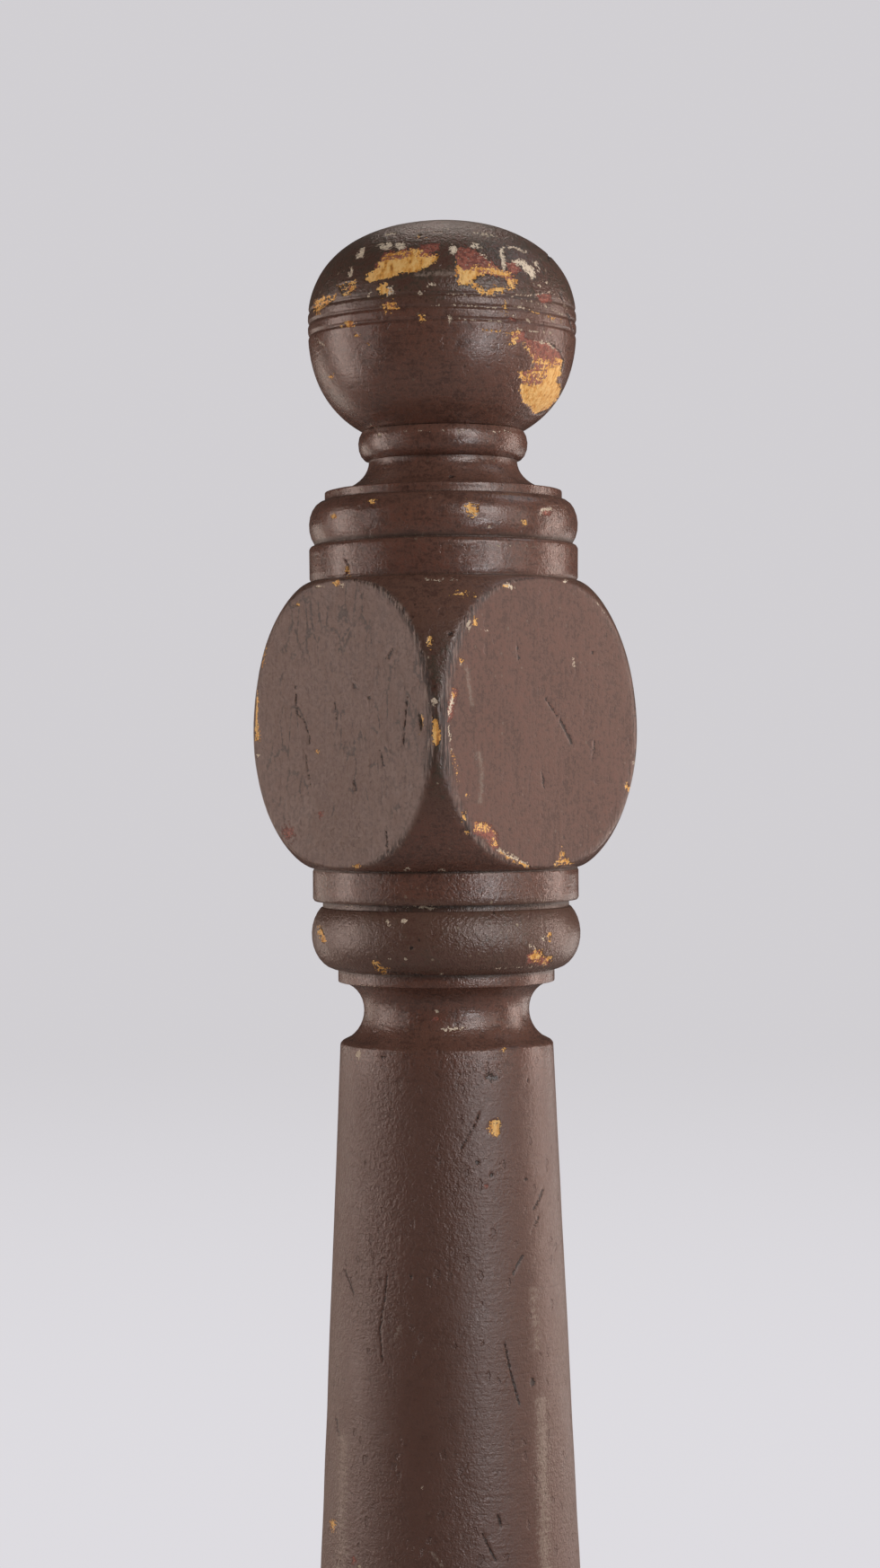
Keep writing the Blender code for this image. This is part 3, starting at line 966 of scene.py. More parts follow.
class Bench:
    """A material's or a world's node tree, and the few ways nodes are added to it."""

    def __init__(self, owner: Union[bpy.types.Material, bpy.types.World]) -> None:
        owner.use_nodes = True
        self.owner = owner
        self.tree = owner.node_tree
        self.tree.nodes.clear()

    def node(self, kind: str, settings: dict, inputs: dict, output: Union[int, str] = 0) -> Signal:
        """Adds a node.

        Args:
            kind: the node's type, such as ShaderNodeMath.
            settings: its properties, set first; a ramp's stops go under "stops".
            inputs: values, colours or signals by socket name or number.
            output: which output to return.

        Returns:
            That output as a signal.
        """
        made = self.tree.nodes.new(kind)
        for key, value in settings.items():
            if key == "stops":
                self._set_stops(made.color_ramp, value)
            else:
                setattr(made, key, value)
        for key, value in inputs.items():
            if isinstance(value, Signal):
                self.tree.links.new(value.socket, made.inputs[key])
            else:
                made.inputs[key].default_value = value
        return Signal(self, made.outputs[output])

    @staticmethod
    def _set_stops(ramp: bpy.types.ColorRamp, stops: Sequence[tuple[float, tuple]]) -> None:
        """Gives a ramp its (place, colour) stops."""
        while len(ramp.elements) < len(stops):
            ramp.elements.new(1.0)
        for element, (place, colour) in zip(ramp.elements, stops):
            element.position = place
            element.color = colour

    def finish(self, shader: Signal) -> Union[bpy.types.Material, bpy.types.World]:
        """Links the shader to the tree's output and returns the tree's owner."""
        kind = "World" if isinstance(self.owner, bpy.types.World) else "Material"
        output = self.tree.nodes.new("ShaderNodeOutput" + kind)
        self.tree.links.new(shader.socket, output.inputs["Surface"])
        return self.owner

    def maths(self, operation: str, *values: Number) -> Signal:
        """A Math node on two values."""
        return self.node("ShaderNodeMath", {"operation": operation}, dict(enumerate(values)))

    def rise(self, value: Number, low: float, high: float) -> Signal:
        """A smooth step."""
        inputs = {0: value, 1: low, 2: high, 3: 0.0, 4: 1.0}
        return self.node("ShaderNodeMapRange", {"interpolation_type": "SMOOTHSTEP", "clamp": True}, inputs)

    def attribute(self, name: str) -> Signal:
        """A number kept at the mesh's points."""
        return self.node("ShaderNodeAttribute", {"attribute_name": name}, {}, "Fac")

    def stretched(self, scale: Point3) -> Signal:
        """Object coordinates, scaled along each axis."""
        place = self.node("ShaderNodeTexCoord", {}, {}, "Object")
        return self.node("ShaderNodeVectorMath", {"operation": "MULTIPLY"}, {0: place, 1: scale})

    def noise(self, scale: Point3, detail: float = 2.0, rough: float = 0.5) -> Signal:
        """Noise from 0 to 1, scaled along each axis in cells for each metre."""
        inputs = {"Vector": self.stretched(scale), "Scale": 1.0, "Detail": detail, "Roughness": rough}
        return self.node("ShaderNodeTexNoise", {}, inputs, "Fac")

    def cells(self, scale: Point3, feature: str = "F1") -> Signal:
        """Distance to the nearest of scattered points, or to its cell's edge, in cells."""
        inputs = {"Vector": self.stretched(scale), "Scale": 1.0}
        return self.node("ShaderNodeTexVoronoi", {"feature": feature}, inputs, "Distance")

    def specks(self, scale: Point3, crumb: Signal, radius: float, rarity: float) -> Signal:
        """Scattered small spots of uneven outline.

        Args:
            scale: cells for each metre along each axis.
            crumb: noise that roughens their edges.
            radius: the spots' radius in cells.
            rarity: the share of cells that stay empty, roughly.

        Returns:
            1 in a spot and 0 outside.
        """
        away = self.cells(scale)
        chosen = away.beside("Color").rise(rarity, rarity + 0.05)
        return (away + (crumb - 0.5) * 0.5).rise(radius, radius * 0.6) * chosen

    def blend(self, share: Number, under: object, over: object) -> Signal:
        """Mixes two colours."""
        settings = {"data_type": "RGBA", "blend_type": "MIX", "clamp_factor": True}
        return self.node("ShaderNodeMix", settings, {0: share, 6: under, 7: over}, 2)

    def ramp(self, value: Signal, stops: Sequence[tuple[float, tuple]]) -> Signal:
        """Colours along a value from 0 to 1."""
        return self.node("ShaderNodeValToRGB", {"stops": stops}, {0: value}, "Color")


@dataclass(frozen=True)
class Noises:
    """The noises that the paint's colour, gloss and relief share, each from 0 to 1."""

    fine: Signal
    crumb: Signal
    worn: Signal
    patch: Signal
    broad: Signal
    upright: Signal
    around: Signal
    grain: Signal
    strand: Signal

    @classmethod
    def on(cls, bench: Bench) -> "Noises":
        """Adds them, from 1 mm crumbs to clouds of 100 mm, some drawn out along the post or round it."""
        return cls(
            fine=bench.noise((1000, 1000, 1000), 1),
            crumb=bench.noise((470, 470, 470), 2, 0.55),
            worn=bench.noise((190, 190, 190)),
            patch=bench.noise((60, 60, 40), 3, 0.6),
            broad=bench.noise((11, 11, 7)),
            upright=bench.noise((560, 560, 45)),
            around=bench.noise((90, 90, 620)),
            grain=bench.noise((420, 420, 14)),
            strand=bench.noise((760, 760, 75), 2, 0.6),
        )


@dataclass(frozen=True)
class Wear:
    """What the mesh keeps at each place of the wear, the painted shade and the painted sheen, each from 0 to
    1.

    The timber, the cream and the maroon show where bare, chalk and flaked are 1. Calm is 1 on the
    shaft and the foot, whose coat is more even and is painted darker as shade.
    """

    bare: Signal
    chalk: Signal
    flaked: Signal
    lost: Signal
    crack: Signal
    scuffed: Signal
    hollow: Signal
    torn: Signal
    bloom_and_sheen: Signal
    soot_and_shade: Signal
    flat: Signal
    calm: Signal

    @classmethod
    def read(cls, bench: Bench, noise: Noises) -> "Wear":
        """Reads the mesh's attributes.

        Args:
            bench: the node tree to add to.
            noise: the noises that make the losses' edges ragged.

        Returns:
            The signals.
        """
        names = ("hollow", "torn", "bloom_and_sheen", "soot_and_shade", "flat", "calm")
        kept = {name: bench.attribute(name) for name in names}
        fine, crumb = noise.fine - 0.5, noise.crumb - 0.5
        ragged = crumb * 4.4 + fine * 4.0 + (noise.around - 0.5) * (1 - kept["flat"]) * 3.4
        bare = cls._shows(bench, Layer.WOOD, ragged)
        chalk = cls._shows(bench, Layer.CREAM, fine * 2.2 + crumb * 3.6)
        flaked = cls._shows(bench, Layer.MAROON, ragged * 0.8)
        return cls(
            bare=bare,
            chalk=chalk,
            flaked=flaked,
            lost=bare.over(chalk).over(flaked),
            crack=(bench.attribute("split") + crumb * 2.2 + fine * 1.6).rise(0.12, -0.10),
            scuffed=(bench.attribute("scuff") + ragged * 0.6).rise(0.9, -0.9) * 0.46,
            **kept,
        )

    @staticmethod
    def _shows(bench: Bench, layer: Layer, ragged: Signal) -> Signal:
        """Where a layer shows, with a ragged edge."""
        return (bench.attribute(layer.value) + ragged).rise(0.10, -0.10)


@dataclass(frozen=True)
class OldPaint:
    """Brown gloss over maroon, cream and bare softwood, with a stairwell's grimy handling, and with painted
    shade and painted sheen laid into its colours.

    Colours are linear. Heights are metres of paint or groove.
    """

    brown: tuple = (0.135, 0.070, 0.053, 1)
    brown_dark: tuple = (0.086, 0.044, 0.034, 1)
    brown_red: tuple = (0.150, 0.069, 0.051, 1)
    # Grey bloom, partly laid on as painted sheen.
    grey_bloom_and_sheen: tuple = (0.145, 0.096, 0.070, 1)
    # A sooty tone, also laid on as painted shade between the flats and on the lower torus.
    soot_and_shade: tuple = (0.070, 0.053, 0.040, 1)
    # Painted shade for the outline's creases, grimy in tone.
    crease_grime_and_shade: tuple = (0.040, 0.030, 0.022, 1)
    # Pale dusting, which the bloom also lays on as painted sheen.
    dust_and_sheen: tuple = (0.29, 0.24, 0.18, 1)
    fibre: tuple = (0.27, 0.22, 0.19, 1)
    maroon: tuple = (0.34, 0.112, 0.076, 1)
    maroon_dark: tuple = (0.17, 0.052, 0.038, 1)
    cream: tuple = (0.80, 0.72, 0.57, 1)
    cream_grey: tuple = (0.44, 0.38, 0.29, 1)
    gold: tuple = (0.80, 0.42, 0.090, 1)
    gold_pale: tuple = (0.94, 0.64, 0.24, 1)
    gold_dark: tuple = (0.34, 0.12, 0.022, 1)
    scuff: tuple = (0.40, 0.35, 0.29, 1)
    crack: tuple = (0.030, 0.019, 0.015, 1)
    coat_depth: float = 0.20 * MM
    crack_depth: float = 0.30 * MM
    dent_depth: float = 0.30 * MM
    fibre_height: float = 1.0 * MM
    roughness: float = 0.17
    bare_roughness: float = 0.62
    specular: float = 0.57

    def build(self) -> bpy.types.Material:
        """Builds the material.

        Returns:
            The finished material.
        """
        bench = Bench(bpy.data.materials.new("old_brown_paint"))
        noise = Noises.on(bench)
        wear = Wear.read(bench, noise)
        # Painted shade: darkening laid into the outline's creases, made patchy like grime; it also makes
        # them rougher.
        crease_dirt_and_shade = (wear.hollow * (noise.patch * 1.1 + noise.crumb * 0.9)).rise(0.15, 0.95)
        dents = bench.specks((150, 150, 95), noise.crumb, 0.27, 0.56) * (wear.calm * 0.7 + 0.3)
        coat = self._coat(bench, noise, wear, crease_dirt_and_shade)
        marked = self._marked(bench, noise, wear, dents, coat)
        relief = self._relief(noise, wear, dents)
        inputs = {
            "Base Color": self._broken(bench, noise, wear, marked),
            "Roughness": self._gloss(noise, wear, crease_dirt_and_shade),
            "Normal": bench.node("ShaderNodeBump", {}, {"Strength": 1.0, "Distance": 1.0, "Height": relief}),
            "Specular IOR Level": self.specular,
        }
        return bench.finish(bench.node("ShaderNodeBsdfPrincipled", {}, inputs))

    def _coat(self, bench: Bench, noise: Noises, wear: Wear, crease_dirt_and_shade: Signal) -> Signal:
        """The brown coat's colour, with painted shade on the shaft, between the flats and in the creases,
        under a grey bloom that is partly painted sheen, sooty handling and pale dusting.
        """
        mottle = (noise.fine - 0.5) * 1.0 + (noise.crumb - 0.5) * 1.5 + (noise.worn - 0.5) * 0.7
        mottle = mottle + (noise.patch - 0.5) * 0.7 + (noise.upright - 0.5) * wear.flat * 0.8
        mottle = mottle + (noise.around - 0.5) * (1 - wear.flat) * 0.9
        mottle = mottle * (1 - wear.calm * 0.55)
        stops = ((0.22, self.brown_dark), (0.50, self.brown), (0.80, self.brown_red))
        coat = bench.ramp(mottle + 0.5, stops)
        coat = bench.blend(noise.broad.rise(0.45, 0.75) * 0.3, coat, self.brown_red)
        # Painted shade: the shaft and the foot are darkened all round, for the shaft's dimly lit middle.
        coat = bench.blend(wear.calm * 0.48, coat, self.brown_dark)
        # The grey bloom and its palest parts: partly painted sheen on the -Y flat, painted sheen down the
        # shaft's sides, painted top light on upward faces.
        coat = bench.blend(wear.bloom_and_sheen * (mottle * 1.2 + 0.8), coat, self.grey_bloom_and_sheen)
        coat = bench.blend(wear.bloom_and_sheen.rise(0.55, 1.0) * (mottle * 0.5 + 0.16), coat, self.dust_and_sheen)
        # Sooty handling on the ball, and painted shade between the flats and on the lower torus.
        coat = bench.blend(wear.soot_and_shade * (mottle * 2.8 + 0.75), coat, self.soot_and_shade)
        # Painted shade in the creases.
        coat = bench.blend(crease_dirt_and_shade * 0.85, coat, self.crease_grime_and_shade)
        powder = wear.hollow.rise(0.25, 0.7) * noise.crumb.rise(0.56, 0.68) * noise.patch.rise(0.44, 0.60)
        return bench.blend(powder * (wear.soot_and_shade * 0.4 + 0.42), coat, self.dust_and_sheen)

    def _marked(self, bench: Bench, noise: Noises, wear: Wear, dents: Signal, coat: Signal) -> Signal:
        """The coat's colour with torn fibres, painted shade between them, crazing, dents, specks, motes and
        scuffs over it.
        """
        dark, pale = noise.strand.rise(0.55, 0.47), noise.strand.rise(0.54, 0.60)
        # Painted shade: the crack colour in the grooves between torn fibres.
        coat = bench.blend(wear.torn * dark * 0.85, coat, self.crack)
        coat = bench.blend(wear.torn * pale * (wear.bloom_and_sheen * 0.6 + 0.45), coat, self.fibre)
        crackle = bench.cells((120, 120, 60), "DISTANCE_TO_EDGE") + (noise.crumb - 0.5) * 0.28
        crazed = crackle.rise(0.085, 0.01) * noise.patch.rise(0.50, 0.60) * wear.bloom_and_sheen.rise(0.30, 0.42)
        coat = bench.blend(crazed * wear.flat * (1 - wear.calm) * 0.75, coat, self.crack)
        coat = bench.blend(dents * 0.42, coat, self.brown_dark)
        specks = bench.specks((330, 330, 230), noise.crumb, 0.24, 0.76)
        specks = specks * (wear.soot_and_shade * 0.6 + wear.bloom_and_sheen * 0.9 + 0.40 - wear.calm * 0.2)
        coat = bench.blend(specks, coat, self.crack)
        motes = bench.specks((210, 210, 190), noise.crumb, 0.16, 0.70)
        coat = bench.blend(motes * (wear.soot_and_shade * 1.6 + 0.35 - wear.calm * 0.2), coat, self.dust_and_sheen)
        return bench.blend(wear.scuffed, coat, self.scuff)

    def _broken(self, bench: Bench, noise: Noises, wear: Wear, coat: Signal) -> Signal:
        """The whole colour, with maroon, cream and timber where the coats above them are gone, and a dark
        line round each loss that is partly painted shadow.
        """
        maroon = bench.blend(noise.crumb.rise(0.40, 0.58), self.maroon_dark, self.maroon)
        maroon = bench.blend(noise.fine.rise(0.60, 0.72) * 0.6, maroon, self.cream_grey)
        cream = bench.blend(noise.crumb.rise(0.52, 0.36), self.cream, self.cream_grey)
        stops = ((0.35, self.gold_dark), (0.45, self.gold), (0.56, self.gold_pale), (0.66, self.gold))
        timber = bench.ramp(noise.grain * 0.4 + noise.upright * 0.3 + noise.crumb * 0.3, stops)
        timber = bench.blend(noise.strand.rise(0.60, 0.70) * 0.3, timber, self.gold_dark)
        colour = bench.blend(wear.flaked, coat, maroon)
        colour = bench.blend(wear.chalk, colour, cream)
        colour = bench.blend(wear.bare, colour, timber)
        # A dark maroon line round each loss: partly the broken maroon coat, partly a painted shadow of the
        # paint's thickness.
        rim = (wear.lost - wear.lost * wear.lost) * 4
        colour = bench.blend(rim * 0.7, colour, self.maroon_dark)
        return bench.blend(wear.crack * 0.9, colour, self.crack)

    def _gloss(self, noise: Noises, wear: Wear, crease_dirt_and_shade: Signal) -> Signal:
        """The roughness, least on clean gloss and most where paint is gone."""
        rough = self.roughness + noise.patch * 0.12 + noise.worn * 0.12 + wear.bloom_and_sheen * 0.12
        rough = rough + wear.soot_and_shade * 0.06 + crease_dirt_and_shade * 0.20 + wear.flat * 0.18
        rough = rough + wear.calm * 0.13 - noise.crumb.rise(0.50, 0.62) * 0.06
        return rough + (self.bare_roughness - rough) * wear.lost

    def _relief(self, noise: Noises, wear: Wear, dents: Signal) -> Signal:
        """The height of the paint's unevenness, too fine for the mesh, in metres."""
        relief = (noise.worn - 0.5) * (0.18 * MM) + (noise.crumb - 0.5) * (0.28 * MM)
        relief = relief + (noise.fine - 0.5) * (0.17 * MM)
        relief = relief * (1 - wear.flat * 0.45 + wear.bloom_and_sheen * 0.7 + wear.calm * 0.6)
        relief = relief * (noise.broad.rise(0.40, 0.62) * 0.8 + wear.soot_and_shade * 0.4 + 0.5)
        relief = relief + (noise.upright - 0.5) * wear.flat * (0.06 * MM)
        relief = relief + (noise.around - 0.5) * (1 - wear.flat) * (0.15 * MM)
        relief = relief + (noise.strand - 0.5) * wear.torn * self.fibre_height
        relief = relief + (noise.patch - 0.5) * (0.17 * MM)
        relief = relief - wear.lost * self.coat_depth - wear.bare * (self.coat_depth * 0.7)
        relief = relief - wear.crack * self.crack_depth - dents * self.dent_depth
        return relief + wear.bare * (noise.grain + noise.crumb) * (0.12 * MM)


@dataclass
class NewelPost:
    """The whole post as one turned piece."""

    timber: Timber
    sight: Sight
    foot: Foot = field(default_factory=Foot)
    foot_collar: Collar = field(default_factory=lambda: Collar(marks=(), step=6.0 * MM))
    shaft: Shaft = field(default_factory=Shaft)
    scotia: Scotia = field(default_factory=Scotia)
    lower_collar: LowerCollar = field(default_factory=LowerCollar)
    rail_block: RailBlock = field(default_factory=RailBlock)
    upper_collar: Collar = field(default_factory=Collar)
    neck: Neck = field(default_factory=Neck)
    ball: Ball = field(default_factory=Ball)
    turn_steps: int = 72
    paint_rounding: float = 0.7 * MM
    sharp_deg: float = 30.0
    arris_wear_mm: float = 1.7
    refine_mm: tuple[float, ...] = (3.0, 1.3, 0.5)
    coat_mm: float = 0.22
    wood_mm: float = 0.50
    crack_mm: float = 0.45
    fibre_mm: float = 0.55
    shaft_head: float = 0.79
    block_foot: float = 0.83
    block_middle: float = 0.9466
    block_top: float = 1.05
    flat_margin: float = 1.2 * MM
    crease_reach: int = 9
    crease_depth: float = 0.9 * MM
    flat_bloom_and_sheen: float = 0.40
    crown_bloom: float = 0.15
    corner_bloom: float = 0.20
    torus_bloom: float = 0.16
    ledge_dust_and_top_light: float = 0.12
    spare_px: float = 12.0
    hidden_fringe: float = 1.5
    low_torus: Point2 = (0.818, 0.858)
    hidden: tuple[HiddenLoss, ...] = (
        HiddenLoss(Layer.MAROON, 196, 1.189, 34, 12),
        HiddenLoss(Layer.WOOD, 193, 1.187, 27, 7),
        HiddenLoss(Layer.CREAM, 212, 1.194, 9, 5),
        HiddenLoss(Layer.MAROON, 240, 1.148, 15, 21),
        HiddenLoss(Layer.WOOD, 239, 1.144, 12, 13),
        HiddenLoss(Layer.WOOD, 288, 1.184, 13, 6),
        HiddenLoss(Layer.CREAM, 262, 1.190, 7, 4),
        HiddenLoss(Layer.WOOD, 172, 1.060, 6, 5),
        HiddenLoss(Layer.CREAM, 251, 1.058, 4, 3),
        HiddenLoss(Layer.WOOD, 226, 0.960, 5, 14),
        HiddenLoss(Layer.CREAM, 219, 0.985, 3, 7),
        HiddenLoss(Layer.WOOD, 310, 0.930, 4, 11),
        HiddenLoss(Layer.MAROON, 204, 0.838, 9, 7),
        HiddenLoss(Layer.WOOD, 281, 0.834, 6, 4),
        HiddenLoss(Layer.WOOD, 233, 0.640, 5, 8),
        HiddenLoss(Layer.SPLIT, 198, 0.560, 2, 24),
    )

    @property
    def assemblies(self) -> tuple:
        """The sub-assemblies from the foot up."""
        return (
            self.foot, self.foot_collar, self.shaft, self.scotia, self.lower_collar,
            self.rail_block, self.upper_collar, self.neck, self.ball,
        )

    def marks(self) -> list[Mark]:
        """Every mark that the photograph shows."""
        return [mark for assembly in self.assemblies for mark in getattr(assembly, "marks", ())]

    def outline(self) -> list[Point2]:
        """The outline from the middle of the underside up to the pole."""
        pen = Pen()
        for assembly in self.assemblies:
            assembly.draw(pen, self.timber)
        return pen.softened(self.paint_rounding, self.sharp_deg)

    def build(self) -> bpy.types.Object:
        """Builds the post's mesh.

        Returns:
            The finished object.
        """
        post = self._draw_outline()
        self._spin(post)
        for reach in self.refine_mm:
            self._refine(post, reach)
        self._flatten(post)
        self._wear(post)
        bpy.ops.object.select_all(action="DESELECT")
        post.select_set(True)
        bpy.context.view_layer.objects.active = post
        bpy.ops.object.shade_smooth_by_angle(angle=math.radians(self.sharp_deg))
        return post

    def _draw_outline(self) -> bpy.types.Object:
        """Draws the outline in the plane of X and Z, one extruded vertex after another."""
        bpy.ops.object.select_all(action="DESELECT")
        bpy.ops.mesh.primitive_plane_add(size=0.01, location=(0, 0, 0))
        post = bpy.context.active_object
        post.name = post.data.name = "turned_newel_post"
        bpy.ops.object.mode_set(mode="EDIT")
        bpy.ops.mesh.select_mode(type="VERT")
        bpy.ops.mesh.select_all(action="SELECT")
        bpy.ops.mesh.merge(type="CENTER")
        outline = self.outline()
        for (r0, z0), (r1, z1) in zip(outline, outline[1:]):
            bpy.ops.mesh.extrude_region_move(TRANSFORM_OT_translate={"value": (r1 - r0, 0.0, z1 - z0)})
        LOG.info("outline of %d points", len(outline))
        return post

    def _spin(self, post: bpy.types.Object) -> None:
        """Spins the outline round Z and closes the seam and the poles."""
        bpy.ops.mesh.select_all(action="SELECT")
        bpy.ops.mesh.spin(
            steps=self.turn_steps, angle=2 * math.pi, center=(0, 0, 0), axis=(0, 0, 1), use_auto_merge=True
        )
        bpy.ops.mesh.select_all(action="SELECT")
        bpy.ops.mesh.remove_doubles(threshold=0.00002)
        bpy.ops.mesh.normals_make_consistent(inside=False)
        bpy.ops.object.mode_set(mode="OBJECT")

    def _refine(self, post: bpy.types.Object, reach: float) -> None:
        """Subdivides the faces within reach, in millimetres, of a mark's edge or a torn rim."""
        mesh = post.data
        places = self._flattened(points_of(mesh))
        _, gap = self._fields(places, self._outward(places))
        rim = self._rim_mm(points_of(mesh))
        rim[self.sight.facing(places, self._outward(places), self.timber.height) < -0.15] += 3.0
        close = (gap < reach) | (rim < reach + 1.5) & (reach > self.refine_mm[-1])
        corners = np.zeros(len(mesh.loops), np.int32)
        mesh.loops.foreach_get("vertex_index", corners)
        starts = np.zeros(len(mesh.polygons), np.int32)
        mesh.polygons.foreach_get("loop_start", starts)
        totals = np.zeros(len(mesh.polygons), np.int32)
        mesh.polygons.foreach_get("loop_total", totals)
        chosen = np.logical_or.reduceat(close[corners], starts) & (totals == 4)
        select(post, "FACE", chosen)
        bpy.ops.object.mode_set(mode="EDIT")
        bpy.ops.mesh.subdivide(number_cuts=1, smoothness=0.0)
        bpy.ops.object.mode_set(mode="OBJECT")
        LOG.info("refined %d faces within %.1f mm", int(chosen.sum()), reach)

    def _flatten(self, post: bpy.types.Object) -> None:
        """Scales what stands past each of the timber's faces flat onto it."""
        places = points_of(post.data)
        set_attribute(post.data, "rim", self._rim_mm(places))
        set_attribute(post.data, "blank", np.hypot(places[:, 0], places[:, 1]))
        half = self.timber.side / 2
        for axis, side in itertools.product((0, 1), (-1, 1)):
            select(post, "VERT", points_of(post.data)[:, axis] * side > half)
            bpy.ops.object.mode_set(mode="EDIT")
            squash = [1.0, 1.0, 1.0]
            squash[axis] = 0.0
            centre = [0.0, 0.0, 0.0]
            centre[axis] = side * half
            bpy.ops.transform.resize(value=squash, center_override=centre)
            bpy.ops.object.mode_set(mode="OBJECT")

    def _flattened(self, places: np.ndarray) -> np.ndarray:
        """Where the turned blank's points go once the timber's faces cut them."""
        half = self.timber.side / 2
        shaped = places.copy()
        shaped[:, :2] = np.clip(shaped[:, :2], -half, half)
        return shaped

    def _outward(self, places: np.ndarray) -> np.ndarray:
        """Level directions away from the axis, or square to a timber face on it."""
        plan = places[:, :2].copy()
        steep = np.abs(plan) > self.timber.side / 2 - 0.01 * MM
        plan = np.where(steep.any(axis=1, keepdims=True), steep * np.sign(plan), plan)
        plan /= np.maximum(np.linalg.norm(plan, axis=1, keepdims=True), 1e-9)
        return np.c_[plan, np.zeros(len(plan))]

    def _rim_mm(self, blank: np.ndarray) -> np.ndarray:
        """Roughly the millimetres from the rail block's arrises, more on the round side, else FAR_MM."""
        half = self.timber.side / 2
        radius = np.hypot(blank[:, 0], blank[:, 1])
        across = np.abs(blank[:, :2]).max(axis=1)
        tilt = np.sqrt(np.maximum(1 - (half / np.maximum(radius, half)) ** 2, 0.01))
        beyond = (across - half) / tilt
        away = np.where(beyond > 0, beyond * 0.8, beyond * -2.5)
        in_block = (radius > half - 1.5 * MM) & (blank[:, 2] > self.block_foot)
        return np.where(in_block, np.minimum(away / MM, FAR_MM), FAR_MM)

    def _fields(self, places: np.ndarray, outward: np.ndarray) -> tuple[dict[str, np.ndarray], np.ndarray]:
        """How far each point is from each kind of mark.

        Args:
            places: N x 3 points on the finished surface.
            outward: their directions away from the post.

        Returns:
            Signed distances in fringes of a millimetre by layer, less than zero inside a mark, and
            the plain distance in millimetres to the nearest mark's edge.
        """
        facing = self.sight.facing(places, outward, self.timber.height)
        seen = self.sight.project(places, self.timber.height)
        behind = np.maximum(0, -facing) * np.hypot(places[:, 0], places[:, 1]) / MM
        scale = self.sight.px_size / MM
        fields = {layer.value: np.full(len(places), FAR_MM) for layer in Layer}
        gap = np.full(len(places), FAR_MM)
        for mark in self.marks():
            values = fields[mark.layer.value]
            rows = np.flatnonzero(self._near_mark(mark, seen) & (behind < FAR_MM))
            away = mark.distance_px(seen[rows]) * scale + behind[rows]
            share = np.maximum(away / mark.fringe, -getattr(mark, "depth", FAR_MM))
            values[rows] = np.minimum(values[rows], share)
            gap[rows] = np.minimum(gap[rows], np.abs(away))
        for loss in self.hidden:
            values = fields[loss.layer.value]
            np.minimum(values, loss.distance_mm(places) / self.hidden_fringe, out=values)
        return fields, gap

    def _near_mark(self, mark: Mark, seen: np.ndarray) -> np.ndarray:
        """Which pixels lie within reach of a mark's box."""
        if isinstance(mark, Fleck):
            corners = np.array(((mark.x_px, mark.y_px),))
        else:
            corners = np.array(mark.outline_px if isinstance(mark, Loss) else mark.path_px)
        reach = FAR_MM * mark.fringe * MM / self.sight.px_size + self.spare_px
        low, high = corners.min(axis=0) - reach, corners.max(axis=0) + reach
        return np.all((seen > low) & (seen < high), axis=1)

    def _wear(self, post: bpy.types.Object) -> None:
        """Wears the arrises, sinks the lost paint and lumps the surface, and keeps the fields."""
        mesh = post.data
        places, normals = points_of(mesh), normals_of(mesh)
        fields, _ = self._fields(places, self._outward(places))
        torn = self._torn(places, get_attribute(mesh, "rim"))
        rise = self._lumps(places, torn) - self._sunk(fields)
        worn = self._arris_wear(places, get_attribute(mesh, "blank"))
        moved = places + normals * (rise * MM)[:, None] - worn
        underside = places[:, 2] < 1.0 * MM
        moved[underside] = places[underside]
        mesh.vertices.foreach_set("co", moved.astype(np.float32).ravel())
        mesh.update()

        on_flat = self._on_flat(places, 0.9 * MM)
        fields["torn"] = torn
        fields["flat"] = on_flat & (places[:, 2] < self.block_top)
        fields["hollow"] = self._hollow(places)
        fields["bloom_and_sheen"] = self._bloom_and_sheen(places, normals)
        fields["calm"] = smoothstep(self.shaft_head, self.shaft_head - 40 * MM, places[:, 2])
        fields["soot_and_shade"] = self._soot_and_shade(places, on_flat)
        for name, values in fields.items():
            set_attribute(mesh, name, values)
        mesh.attributes.remove(mesh.attributes["rim"])
        mesh.attributes.remove(mesh.attributes["blank"])

    def _torn(self, places: np.ndarray, edge: np.ndarray) -> np.ndarray:
        """Where fibres stand torn along the rail block's arrises, most on the camera's side."""
        ragged = edge + lattice_noise(places * (90, 90, 16), 3) * 1.3
        torn = smoothstep(5.6, 2.0, ragged) * (edge < FAR_MM - 0.1)
        torn *= smoothstep(-0.8, 0.0, lattice_noise(places * (26, 26, 22), 5))
        return torn * (0.35 + 0.65 * smoothstep(0.6, 0.9, self._toward(places)))

    def _lumps(self, places: np.ndarray, torn: np.ndarray) -> np.ndarray:
        """The rise of thick paint and torn fibres, in millimetres."""
        lumps = 0.16 * lattice_noise(places * 38, 11) + 0.05 * lattice_noise(places * (120, 120, 60), 13)
        fibres = lattice_noise(places * (620, 620, 55), 17) * 0.5
        fibres = fibres + lattice_noise(places * (300, 300, 30), 19) * 0.5
        return lumps + torn * (fibres * self.fibre_mm - 0.15)

    def _sunk(self, fields: dict[str, np.ndarray]) -> np.ndarray:
        """The depth of lost paint, bare timber and cracks, in millimetres."""
        sunk = self.coat_mm * smoothstep(0.3, -0.3, fields["maroon"])
        sunk = sunk + self.coat_mm * smoothstep(0.3, -0.3, fields["cream"])
        sunk = np.maximum(sunk, self.wood_mm * smoothstep(0.3, -0.4, fields["wood"]))
        return sunk + self.crack_mm * smoothstep(0.4, -0.3, fields["split"])

